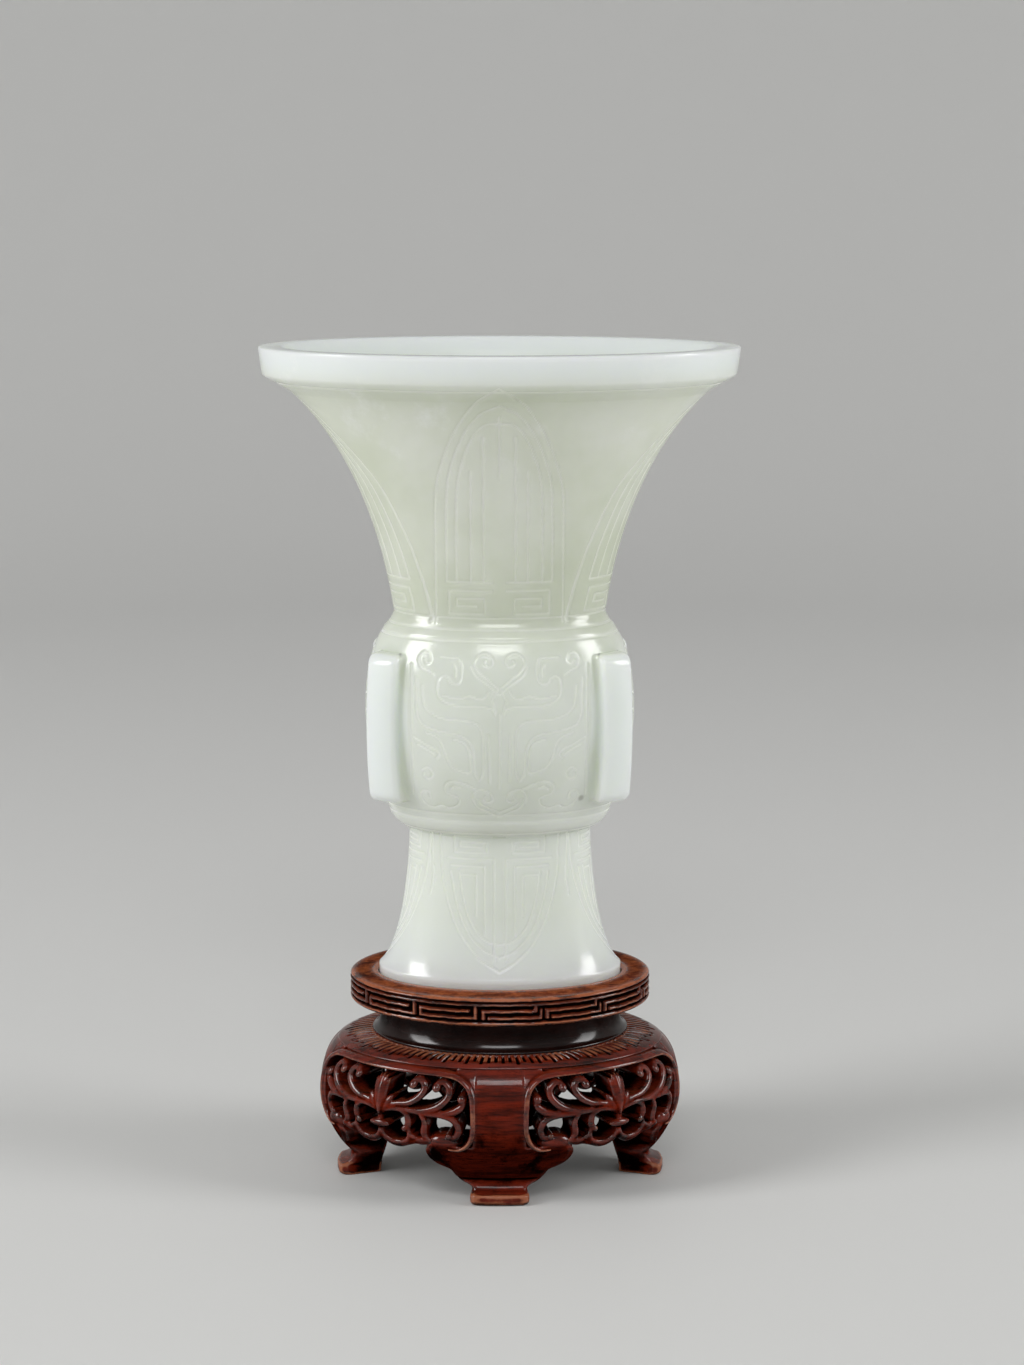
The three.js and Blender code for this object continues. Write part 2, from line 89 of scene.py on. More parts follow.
# Vase ovals: width, depth and height above the vase's own foot
FOOT = (68.0, 41.2)
FOOT_BAND_HEIGHT = 6.6
FOOT_RIM_WALL = 6.5
FOOT_RECESS = 5.0
FOOT_EDGE = 0.8
STEM = (50.4, 32.0, 46.4)
BELLY_BASE = (62.0, 39.6, 52.4)
BELLY_SWELL = 5.2
BELLY_CROWN = (66.0, 42.6, 100.9)
NECK = (58.4, 36.0, 107.1)
LIP_BAND = 7.1
LIP_TAPER = 0.9
LIP_UNDERCUT = (8.0, 6.2)
LIP_UNDERCUT_HEIGHT = 5.2
LIP_EDGE = 0.5
LIP_WALL = 6.3
NECK_WALL = 6.8
WELL = (50.0, 28.0)
WELL_FLOOR = 58.0
WELL_ROUNDING = 6.8
EDGE_MIDDLE = 0.3

# Bends of the vase's curved runs
FOOT_BENDS = ((0.64, 0.12), (0.95, 0.58))
BELLY_BASE_BENDS = ((0.55, 0.1), (0.95, 0.6))
BELLY_HANDLES = (0.27, 0.77)
CROWN_BENDS = ((0.3, 0.4), (0.95, 0.7))
TRUMPET_BENDS = ((0.1, 0.33), (0.38, 0.735))
LIP_BENDS = ((0.5, 0.55), (1.0, 0.8))
MOUTH_BENDS = ((0.43, 0.27), (0.91, 0.69))
THROAT_BENDS = ((0, 0.4), (1, 0.7))
WELL_BENDS = ((0, 0.4), (0.4, 0.9))

# Stand
RIM_EDGE = 1.0
RIM_UNDERSIDE_STEP = 1.5
RIM_FLAT_STEP = 0.8
FRET_STEP = 0.26
SEAT_EDGE = 0.5
SEAT_EDGE_MIDDLE = 0.12
SEAT_GAP = 0.3
PANEL_LAP = 2.0
WAIST_FILLET = 1.2
WAIST_SCOTIA = 2.4
WAIST_FLARE = 0.5
WAIST_BORE = (54.0, 31.0)
WAIST_TOE = 0.5
WAIST_TOE_EDGE = 0.3
WAIST_BENDS = ((0.6, 0.1), (1.0, 0.55))
WAIST_COLUMNS = 240
RING_STEP = 0.3
SHOULDER_EDGE = 1.1
SHOULDER_GROOVE = 0.5
SHOULDER_SETBACK = 0.15
SHOULDER_BENDS = ((0.16, 0.5), (0.55, 0.95))
SHOULDER_LEDGE = 3.0
SHOULDER_BORE_WALL = 3.3
GIRTH = (101.8, 72.8, 26.0)
ANKLE = (84.4, 55.4, 7.0)
TOE = (93.0, 62.0, 3.0)
TOE_ROUND = 1.2
TOE_BENDS = ((0.6, 0.12), (1.0, 0.5))
ANKLE_BENDS = ((0.35, 0.1), (1, 0.5))
GIRTH_BENDS = ((0, 0.45), (0.45, 0.85))
BUD_TURN = math.radians(41)
APRON_TURNS = {
    "apron_front_right": BUD_TURN,
    "apron_back_right": math.pi - BUD_TURN,
    "apron_back_left": BUD_TURN - math.pi,
    "apron_front_left": -BUD_TURN,
}


# Curves and ovals

TURN_SAMPLES = 4001
EDGE_SAMPLES = 721


def oval(width, depth, height):
    """Half width and half depth of an oval at one height."""
    return np.array([width / 2, depth / 2, height])


def inset(section, amount, height=None):
    """The oval drawn in by the same amount all round, at another height if one is given."""
    drawn = section - np.array([amount, amount, 0.0])
    if height is not None:
        drawn[2] = height
    return drawn


def bezier(first, second, third, last, steps):
    share = np.linspace(0, 1, steps + 1)[:, None]
    rest = 1 - share
    return rest**3 * first + 3 * rest**2 * share * second + 3 * rest * share**2 * third + share**3 * last


def sweep(start, end, bends, steps=40):
    """A curved run between two ovals; each bend is a share of the step across and of the step up."""
    step = end - start
    second, third = (start + step * np.array([across, across, up]) for across, up in bends)
    return bezier(start, second, third, end, steps)


def swell(start, end, amount, steps=40):
    """A run between two ovals that swells out by a given amount half way."""
    reach = np.array([amount, amount, 0.0]) * 4 / 3
    second, third = (start + (end - start) * share + reach for share in BELLY_HANDLES)
    return bezier(start, second, third, end, steps)


def evenly(path, spacing):
    """The same run with its points about one spacing apart."""
    reach = np.stack([path[:, :2].mean(1), path[:, 2]], 1)
    walked = np.concatenate([[0], np.cumsum(np.linalg.norm(np.diff(reach, axis=0), axis=1))])
    count = max(2, round(walked[-1] / spacing) + 1)
    places = np.linspace(0, walked[-1], count)
    return np.stack([np.interp(places, walked, path[:, i]) for i in range(3)], 1)


def with_levels(run, levels):
    """The same rising run with a point at each of these heights as well."""
    heights = np.union1d(run[:, 2], levels)
    return np.stack([np.interp(heights, run[:, 2], run[:, i]) for i in range(3)], 1)


def joined(*runs):
    """Runs of ovals one after the other, without the points that repeat."""
    path = np.concatenate([np.atleast_2d(run) for run in runs])
    apart = np.linalg.norm(np.diff(path, axis=0), axis=1) > TINY
    return path[np.concatenate([[True], apart])]


def smooth_line(points, steps=5):
    """A rounded line through a few given points."""
    points = np.array(points, float)
    padded = np.concatenate([2 * points[:1] - points[1:2], points, 2 * points[-1:] - points[-2:-1]])
    share = np.linspace(0, 1, steps, endpoint=False)[:, None]
    parts = []
    for i in range(len(points) - 1):
        before, start, end, after = padded[i:i + 4]
        parts.append(start + 0.5 * share * (end - before + share * (
            2 * before - 5 * start + 4 * end - after + share * (3 * (start - end) + after - before))))
    return np.concatenate([*parts, points[-1:]])


def even_turns(columns, aspect):
    """Turns that part an oval of one aspect into equal steps."""
    fine = np.linspace(0, 2 * math.pi, TURN_SAMPLES)
    pace = np.hypot(np.cos(fine), aspect * np.sin(fine))
    walked = np.concatenate([[0], np.cumsum((pace[1:] + pace[:-1]) / 2)])
    return np.interp(np.arange(columns) / columns * walked[-1], walked, fine)


def oval_round(section):
    """The length of an oval's edge."""
    fine = np.linspace(0, 2 * math.pi, EDGE_SAMPLES)
    points = np.stack([section[0] * np.sin(fine), section[1] * np.cos(fine)], 1)
    return np.linalg.norm(np.diff(points, axis=0), axis=1).sum()


def smoothstep(low, high, value):
    share = np.clip((value - low) / (high - low), 0, 1)
    return share * share * (3 - 2 * share)


# Grids of points

def turned(path, turns):
    """Rows of points round the vertical axis, one row for each oval of the path."""
    sine, cosine = np.sin(turns), np.cos(turns)
    level = np.broadcast_to(path[:, 2:3], (len(path), len(turns)))
    return np.stack([path[:, 0:1] * sine, -path[:, 1:2] * cosine, level], 2)


def grid_normals(grid):
    """Outward directions of a grid whose columns go round."""
    along = np.roll(grid, -1, 1) - np.roll(grid, 1, 1)
    up = np.gradient(grid, axis=0)
    normal = np.cross(along, up)
    return normal / np.maximum(np.linalg.norm(normal, axis=2, keepdims=True), NEARLY_ZERO)


def grid_faces(rows, columns, rows_close=False):
    """Faces between the rows of a grid whose columns go round."""
    row = np.arange(rows if rows_close else rows - 1)[:, None]
    column = np.arange(columns)[None, :]
    beside = (column + 1) % columns
    above = (row + 1) % rows
    near, far = row * columns, above * columns
    corners = (near + column, near + beside, far + beside, far + column)
    return np.stack(np.broadcast_arrays(*corners), 2).reshape(-1, 4).tolist()


def fan_faces(centre, first, columns, facing_up):
    """Triangles from a ring of points to one point."""
    ring = [first + i for i in range(columns)]
    after = ring[1:] + ring[:1]
    if facing_up:
        return [[a, b, centre] for a, b in zip(ring, after)]
    return [[b, a, centre] for a, b in zip(ring, after)]


def closed_ring(path, turns):
    """Points and faces of a ring whose section closes on itself."""
    grid = turned(path, turns)
    return grid, grid_faces(len(path), len(turns), rows_close=True)


# Carved lines

LINE_REACH = 2.0


def distance_to(lines, across, height):
    """How far each point of a face lies from the nearest of several lines, up to the lines' reach."""
    nearest = np.full(across.shape, LINE_REACH)
    for line in lines:
        low, high = line.min(0) - LINE_REACH, line.max(0) + LINE_REACH
        near = (across > low[0]) & (across < high[0]) & (height > low[1]) & (height < high[1])
        if not near.any():
            continue
        point = np.stack([across[near], height[near]], 1)
        best = nearest[near]
        for start, end in zip(line[:-1], line[1:]):
            step = end - start
            share = np.clip((point - start) @ step / max(step @ step, NEARLY_ZERO), 0, 1)
            best = np.minimum(best, np.linalg.norm(point - start - share[:, None] * step, axis=1))
        nearest[near] = best
    return nearest


def straight(*points):
    return np.array(points, float)


def square_hook(near, far, low, high, gap):
    """A squared spiral: out along the top, down, back along the bottom, then inwards."""
    inner, outer = near + gap, far - gap
    return straight(
        (near, high), (far, high), (far, low), (inner, low),
        (inner, high - gap), (outer, high - gap), (outer, low + gap), (inner + gap, low + gap))


def nested(edge, amount, tip_step):
    """A leaf's outline drawn in by an amount at its sides and by another at its tip."""
    half = edge[0][0]
    share = 1 - amount / half
    return [(x * share, z - tip_step * amount * (1 - x / half)) for x, z in edge]


def narrower(lines, share):
    """The same lines drawn closer to the middle."""
    return [line * np.array([share, 1.0]) for line in lines]


# Plantain leaf on the neck, across from its middle and height above the table
LEAF_EDGE = [(17.2, 161.0), (17.2, 190.0), (16.4, 201.0), (12.2, 213.0), (6.4, 221.6), (0.0, 226.0)]
LEAF_STEPS = (0.0, 2.9, 5.6)
LEAF_TIP_STEP = 1.75
LEAF_FOOT = 172.4
LEAF_RIBS = ((4.3, 212.5), (7.7, 203.0))
LEAF_MIDRIB = ((0.0, 201.0), (0.0, 218.0))
LEAF_BASE = ((1.9, LEAF_FOOT), (14.2, LEAF_FOOT))
NECK_HOOK = (1.9, 13.6, 163.4, 170.0, 2.15)
SIDE_LEAF = 0.82
STEM_SIDE_LEAF = 0.64
SIDE_REACH = 0.88


def neck_lines():
    """Half of the front leaf: nested outlines, ribs and the key fret at its base."""
    lines = []
    for amount in LEAF_STEPS:
        outline = nested(LEAF_EDGE, amount, LEAF_TIP_STEP)
        if amount > 0:
            outline[0] = (outline[0][0], LEAF_FOOT)
        lines.append(smooth_line(outline))
    lines += [straight((x, LEAF_FOOT), (x, top)) for x, top in LEAF_RIBS]
    return lines + [straight(*LEAF_MIDRIB), square_hook(*NECK_HOOK), straight(*LEAF_BASE)]


# Pendant leaf on the stem
PENDANT_EDGE = [(16.3, 101.8), (15.9, 91.0), (14.3, 82.6), (11.9, 75.8), (8.9, 70.9), (4.7, 66.6),
                (0.0, 63.8)]
PENDANT_STEPS = (0.0, 2.5, 4.9)
PENDANT_TIP_STEP = -1.5
PENDANT_BARS = ((1.6, 95.0, 14.3, 66.6), (4.2, 92.8, 13.4, 73.5), (6.5, 90.4, 10.8, 79.0))
STEM_HOOKS = (2.0, 12.4, 96.7, 101.2, 1.5)
STEM_CORNER_LINE = ((18.4, 88.0), (18.6, 101.8))
STEM_CORNER_CURVE = [(19.2, 84.0), (18.5, 88.0), (18.2, 92.0)]


def stem_lines():
    """Half of the front pendant leaf: outlines, nested angle bars and a fret above."""
    lines = []
    for amount in PENDANT_STEPS:
        outline = nested(PENDANT_EDGE, amount, PENDANT_TIP_STEP)
        lines.append(smooth_line(outline if amount == 0 else outline[1:]))
    for inner, top, outer, bottom in PENDANT_BARS:
        lines.append(straight((outer, top), (inner, top), (inner, bottom)))
    return lines + [square_hook(*STEM_HOOKS)]


def stem_corner_lines():
    """Half of the lines between the stem's front and side leaves."""
    return [straight(*STEM_CORNER_LINE), smooth_line(STEM_CORNER_CURVE)]


# Animal mask on the belly, right half, across from the nose and height above the table
MASK_CURVES = {
    "horn": [(0.2, 144.3), (2.9, 146.6), (5.6, 148.9), (6.8, 150.9), (5.6, 152.9), (3.7, 153.4),
             (2.0, 152.4), (1.8, 150.9), (2.9, 150.2), (4.0, 150.9), (3.7, 151.8)],
    "horn_inner": [(0.2, 142.8), (3.3, 145.5), (6.3, 147.9), (7.6, 150.2)],
    "brow_top": [(2.7, 143.9), (3.9, 142.0), (5.6, 141.6), (8.1, 142.3), (10.5, 141.5), (13.0, 141.7),
                 (15.4, 142.2)],
    "brow_low": [(0.9, 137.2), (1.9, 138.8), (4.5, 139.5), (8.3, 139.4), (11.6, 139.6), (14.7, 140.5),
                 (16.4, 142.0), (16.8, 144.6), (16.4, 146.6), (15.2, 147.3), (13.8, 146.9), (13.3, 145.8),
                 (11.8, 145.3), (10.5, 146.4), (10.1, 149.0), (10.3, 151.3), (11.4, 152.2), (16.0, 152.3)],
    "hook": [(12.1, 150.6), (11.7, 149.2), (11.8, 147.4)],
    "corner": [(17.6, 147.6), (19.2, 148.6), (21.2, 149.6), (21.8, 151.6), (20.6, 153.2), (18.9, 152.8),
               (18.5, 151.2), (19.6, 150.5), (20.3, 151.4)],
    "cheek": [(20.9, 144.6), (20.6, 140.6), (19.9, 138.5), (18.0, 136.9), (14.9, 135.9), (11.1, 135.6),
              (7.8, 135.4), (5.6, 134.3), (4.6, 131.7), (4.4, 126.0), (4.5, 121.0), (5.6, 118.5)],
    "brow_edge": [(22.6, 146.6), (22.4, 138.0), (21.6, 134.9), (19.9, 133.4), (15.5, 132.3), (11.1, 131.7),
                  (8.7, 130.4), (7.5, 128.3), (7.0, 124.9), (6.7, 121.0), (5.6, 118.9)],
    "eye": [(20.0, 131.8), (17.1, 130.8), (15.5, 128.8), (14.4, 125.4), (13.0, 122.7), (10.8, 121.5),
            (8.1, 121.0), (7.9, 124.0), (8.3, 127.3), (9.5, 129.4), (12.4, 130.4)],
    "ear": [(23.2, 130.2), (19.9, 128.4), (17.5, 127.4), (16.3, 126.0), (17.1, 124.8)],
    "ear_inner": [(22.2, 128.3), (19.0, 126.7), (17.7, 125.8)],
    "curl": [(21.0, 121.2), (19.4, 121.9), (18.1, 120.4), (18.9, 118.8), (20.4, 119.1), (20.4, 120.3)],
    "jaw": [(6.4, 116.4), (9.4, 117.8), (12.2, 118.4), (14.2, 117.8), (14.9, 116.3), (14.2, 114.7),
            (12.5, 114.1), (11.0, 113.2), (11.1, 111.8), (12.0, 110.9), (13.8, 110.3), (16.0, 111.0),
            (18.0, 110.2), (20.4, 111.3), (21.6, 113.4), (20.8, 115.0), (19.2, 114.6), (18.8, 113.0)],
    "jaw_inner": [(10.6, 116.4), (12.3, 116.9), (13.3, 116.0)],
    "snout": [(0.0, 107.9), (2.9, 109.3), (5.6, 110.7), (7.2, 113.0), (7.1, 114.9), (5.6, 116.1),
              (3.7, 115.8), (2.3, 114.9), (2.0, 113.2), (3.1, 112.4), (4.2, 113.0), (3.9, 114.1)],
    "snout_inner": [(0.0, 109.3), (2.7, 110.6), (5.0, 111.8), (6.1, 113.4)],
}
MASK_STRAIGHTS = (
    ((0.0, 137.4), (0.0, 116.4)),
    ((2.9, 132.0), (2.6, 118.4)),
    ((0.2, 144.3), (1.9, 141.2), (0.9, 137.2)),
    ((23.8, 150.0), (23.6, 113.5)),
)
SIDE_CURVES = {
    "horn": [(0.0, 143.6), (2.2, 146.4), (3.6, 149.2), (2.6, 152.0), (1.0, 151.6), (1.2, 149.8)],
    "brow": [(0.6, 138.6), (3.6, 139.6), (7.4, 141.4), (9.2, 144.6), (8.4, 148.0), (6.4, 148.2),
             (6.0, 146.2)],
    "cheek": [(9.6, 137.4), (6.4, 135.4), (3.4, 134.6), (2.2, 131.0), (2.2, 122.0)],
    "eye": [(9.2, 132.4), (6.6, 130.6), (5.6, 126.8), (4.2, 123.6), (4.4, 128.0), (5.8, 131.0)],
    "jaw": [(2.8, 117.0), (6.0, 118.6), (8.4, 116.6), (7.2, 114.0), (5.0, 113.2), (6.2, 111.0),
            (9.2, 111.6)],
    "snout": [(0.0, 108.2), (2.4, 109.8), (3.6, 112.4), (2.2, 114.2), (0.9, 113.2)],
}
SIDE_STRAIGHTS = (((0.0, 137.0), (0.0, 118.0)),)


def mask_lines(curves, straights):
    """Half of an animal mask between two flanges."""
    lines = [smooth_line(points) for points in curves.values()]
    return lines + [straight(*points) for points in straights]


RING_LINES = (224.9, 162.3, 159.4, 156.6, 108.4, 106.2, 102.4)
NECK_TOP, NECK_BOTTOM = 229.0, 160.5
BELLY_TOP, BELLY_BOTTOM = 155.6, 106.6
STEM_LINE_TOP, STEM_LINE_BOTTOM = 102.4, 62.6


def carving(grid):
    """How far each point of the vase's outside lies from the nearest carved line."""
    across, depth, height = np.abs(grid[..., 0]), np.abs(grid[..., 1]), grid[..., 2]
    reach = np.full(height.shape, LINE_REACH)
    neck, stem = neck_lines(), stem_lines()
    mask, side_mask = mask_lines(MASK_CURVES, MASK_STRAIGHTS), mask_lines(SIDE_CURVES, SIDE_STRAIGHTS)
    zones = (
        (NECK_BOTTOM, NECK_TOP, neck, narrower(neck, SIDE_LEAF)),
        (BELLY_BOTTOM, BELLY_TOP, mask, side_mask),
        (STEM_LINE_BOTTOM, STEM_LINE_TOP, stem + stem_corner_lines(), narrower(stem, STEM_SIDE_LEAF)),
    )
    for low, high, front, side in zones:
        rows = np.where((height[:, 0] > low) & (height[:, 0] < high))[0]
        part = slice(rows[0], rows[-1] + 1)
        near = distance_to(front, across[part], height[part])
        beside = distance_to(side, depth[part], height[part])
        beside[depth[part] > SIDE_REACH * depth[part].max(1, keepdims=True)] = near.max()
        reach[part] = np.minimum(reach[part], np.minimum(near, beside))
    for level in RING_LINES:
        reach = np.minimum(reach, np.abs(height - level))
    return reach


# Meshes and finishing touches

def blurred(values, edges, rounds):
    """Values on points, averaged over their neighbours several times."""
    count = len(values)
    degree = np.bincount(edges.ravel(), minlength=count)[:, None]
    for _ in range(rounds):
        total = np.stack([
            np.bincount(edges[:, 0], weights=values[edges[:, 1], i], minlength=count)
            + np.bincount(edges[:, 1], weights=values[edges[:, 0], i], minlength=count)
            for i in range(values.shape[1])
        ], 1)
        values = (values + total) / (degree + 1)
    return values


def make_mesh(name, points, faces):
    """A smooth-shaded mesh in metres from points in millimetres."""
    mesh = bpy.data.meshes.new(name)
    mesh.from_pydata((np.asarray(points).reshape(-1, 3) * MM).tolist(), [], faces)
    mesh.shade_smooth()
    mesh.validate()
    mesh.update()
    return mesh


def mesh_arrays(mesh):
    """A mesh's points, normals and edges as arrays, the points in millimetres."""
    count = len(mesh.vertices)
    points, normals = np.zeros(count * 3), np.zeros(count * 3)
    mesh.vertices.foreach_get("co", points)
    mesh.vertices.foreach_get("normal", normals)
    edges = np.zeros(len(mesh.edges) * 2, np.int64)
    mesh.edges.foreach_get("vertices", edges)
    return points.reshape(-1, 3) / MM, normals.reshape(-1, 3), edges.reshape(-1, 2)


def set_values(mesh, name, values):
    """Keeps one number for each point under a name that materials can read."""
    layer = mesh.attributes.new(name, "FLOAT", "POINT")
    layer.data.foreach_set("value", np.ascontiguousarray(values, np.float32).ravel())


def mark_wear_and_shade(mesh, scale, rounds, kept=1.0, shade=0.0, rub=0.0):
    """Marks crests, edges lightened by use and by a painted highlight, and hollows for painted shade, by how
    far points stand above their neighbourhood.
    """
    points, normals, edges = mesh_arrays(mesh)
    height = ((points - blurred(points, edges, rounds)) * normals).sum(1) / scale
    height = blurred(height[:, None], edges, 1)[:, 0]
    set_values(mesh, "crest", np.clip(height, 0, 1))
    set_values(mesh, "wear", np.clip(np.clip(height, 0, 1) * kept + rub, 0, 1))
    set_values(mesh, "hollow", np.clip(shade - height, 0, 1))


def remeshed(points, faces, voxel, rounds):
    """One clean skin round several closed bodies that overlap, in millimetres."""
    raw = bpy.data.meshes.new("raw")
    raw.from_pydata(np.asarray(points).reshape(-1, 3).tolist(), [], faces)
    holder = bpy.data.objects.new("raw", raw)
    bpy.context.scene.collection.objects.link(holder)
    modifier = holder.modifiers.new("skin", "REMESH")
    modifier.mode = "VOXEL"
    modifier.voxel_size = voxel
    skin = bpy.data.meshes.new_from_object(holder.evaluated_get(bpy.context.evaluated_depsgraph_get()))
    bpy.data.objects.remove(holder)
    bpy.data.meshes.remove(raw)
    found, _, edges = mesh_arrays(skin)
    smoothed = blurred(found * MM, edges, rounds)
    faces = [list(polygon.vertices) for polygon in skin.polygons]
    bpy.data.meshes.remove(skin)
    return smoothed, faces


def place(mesh, node, body, material):
    """Puts a finished mesh in the scene in place of a CAD node."""
    piece = bpy.data.objects.new(mesh.name, mesh)
    bpy.context.scene.collection.objects.link(piece)
    mesh.materials.append(material)
    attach(piece, body)
    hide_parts(node)


# Materials

class Value:
    """A socket in a material's tree that takes part in Python arithmetic."""

    def __init__(self, tree, socket):
        self.tree = tree
        self.socket = socket

    def add(self, kind, settings=None, sockets=None, output=0):
        """A new node of one kind: its settings first, then values or links for its sockets."""
        node = self.tree.nodes.new(kind)
        for name, setting in (settings or {}).items():
            setattr(node, name, setting)
        for name, value in (sockets or {}).items():
            if isinstance(value, Value):
                self.tree.links.new(value.socket, node.inputs[name])
            else:
                node.inputs[name].default_value = value
        return Value(self.tree, node.outputs[output])

    def math(self, operation, *values):
        """A Math node on these values."""
        return self.add("ShaderNodeMath", {"operation": operation}, dict(enumerate(values)))

    def __add__(self, other):
        return self.math("ADD", self, other)

    __radd__ = __add__

    def __sub__(self, other):
        return self.math("SUBTRACT", self, other)

    def __rsub__(self, other):
        return self.math("SUBTRACT", other, self)

    def __mul__(self, other):
        return self.math("MULTIPLY", self, other)

    __rmul__ = __mul__

    def ramp(self, low, high):
        """0 below low, 1 above high and a smooth step between."""
        settings = {"interpolation_type": "SMOOTHSTEP"}
        return self.add("ShaderNodeMapRange", settings, {"Value": self, "From Min": low, "From Max": high})

    def blend(self, first, second):
        """A colour that goes from the first to the second as this value goes from 0 to 1."""
        sockets = {0: self, 6: first, 7: second}
        return self.add("ShaderNodeMix", {"data_type": "RGBA"}, sockets, output=2)


def new_material(name):
    """An empty tree with its surface shader, and a value to add nodes with."""
    material = bpy.data.materials.new(name)
    material.use_nodes = True
    tree = material.node_tree
    tree.nodes.clear()
    shader = tree.nodes.new("ShaderNodeBsdfPrincipled")
    output = tree.nodes.new("ShaderNodeOutputMaterial")
    tree.links.new(shader.outputs[0], output.inputs[0])
    return material, shader, Value(tree, None)


def link(value, shader, socket):
    value.tree.links.new(value.socket, shader.inputs[socket])


def spots(kit, where, scale, detail, roughness):
    """Soft noise at one scale per metre."""
    sockets = {"Vector": where, "Scale": scale, "Detail": detail, "Roughness": roughness}
    return kit.add("ShaderNodeTexNoise", None, sockets)


def stretched(kit, where, scale):
    """Coordinates stretched by a different scale along each axis."""
    return kit.add("ShaderNodeMapping", None, {"Vector": where, "Scale": scale})


def point_value(kit, name):
    return kit.add("ShaderNodeAttribute", {"attribute_name": name}, output=2)


def bump(kit, height, strength, distance):
    sockets = {"Height": height, "Strength": strength, "Distance": distance}
    return kit.add("ShaderNodeBump", None, sockets)


def set_plain(shader, values):
    """Sets the shader's values that are the same all over the surface."""
    for socket, value in values.items():
        shader.inputs[socket].default_value = value


# Noise in the jade: scale, detail and roughness
JADE_CLOUDS = (26.0, 4.0, 0.55)
JADE_VEIL = (9.0, 2.0, 0.5)
JADE_VEINS = (1.0, 6.0, 0.7)
JADE_MILK = (62.0, 6.0, 0.66)
JADE_POLISH = (700.0, 4.0, 0.5)

VEIN_STRETCH = (34.0, 34.0, 300.0)
JADE_SPOT = (0.0222, -0.0165, 0.1125)
JADE_SPOT_EDGE = (0.0004, 0.0013)
JADE_PLAIN = {
    "Subsurface Weight": 0.85,
    "Subsurface Radius": (1.0, 1.05, 0.85),
    "Subsurface Scale": 0.013,
    "IOR": 1.61,
}


def polished_jade(finishes):
    """Pale polished stone: cloudy, warm where thick, bluish where the pale mix paints a glow of light
    through the lip and flanges or gives a paler tone on the foot and belly, matt white in the cut lines.
    """
    material, shader, kit = new_material("polished_jade")
    place_on = kit.add("ShaderNodeTexCoord", output=3)
    cloud = spots(kit, place_on, *JADE_CLOUDS)
    veil = spots(kit, place_on, *JADE_VEIL)
    # The pale mix: a paler tone on the foot and belly, and a painted glow of light through the lip and
    # flanges
    thin = point_value(kit, "thin")
    mottled = (cloud * 0.6 + veil * 0.4 + thin * 0.35).ramp(0.36, 0.68)
    cut = point_value(kit, "cut")
    body = mottled.blend(finishes.jade_deep, finishes.jade_body)
    edged = (thin + cloud * 0.3 - 0.15).ramp(0.0, 1.0).blend(body, finishes.jade_edge)
    drawn = stretched(kit, place_on, VEIN_STRETCH)
    vein = spots(kit, drawn, *JADE_VEINS).ramp(0.71, 0.78) * veil.ramp(0.5, 0.62)
    milk = spots(kit, place_on, *JADE_MILK).ramp(0.53, 0.7) * veil.ramp(0.46, 0.62)
    clouded = (milk * 0.7).blend(edged, finishes.jade_milk)
    veined = (vein * 0.35).blend(clouded, finishes.jade_vein)
    spot = kit.add("ShaderNodeVectorMath", {"operation": "DISTANCE"}, {0: place_on, 1: JADE_SPOT}, output=1)
    marked = ((1.0 - spot.ramp(*JADE_SPOT_EDGE)) * 0.5).blend(veined, finishes.jade_spot)
    link((cut * 0.4).blend(marked, finishes.jade_line), shader, "Base Color")
    link(0.13 + cloud * 0.08 + cut * 0.3, shader, "Roughness")
    fine = spots(kit, place_on, *JADE_POLISH)
    link(bump(kit, fine + cloud * 2.0, 0.12, 0.0002), shader, "Normal")
    set_plain(shader, JADE_PLAIN)
    return material


WAX_PLAIN = {"Specular IOR Level": 0.0, "Coat Roughness": 0.13, "Coat IOR": 1.55}
BROAD_GRAIN = 0.3
PORE_GRAIN = 3.2
# How dark the colour of painted shade and of dark pores and patches gets, as a share of the dark grain
HOLLOW_TONE = 0.14

# Noise in the wood: scale, detail and roughness
WOOD_BROAD = (1.0, 3.0, 0.55)
WOOD_STREAKS = (1.0, 5.0, 0.65)
WOOD_PORES = (1.0, 3.0, 0.65)
WOOD_PATCHES = (170.0, 4.0, 0.6)
WOOD_SPECKS = (650.0, 3.0, 0.65)


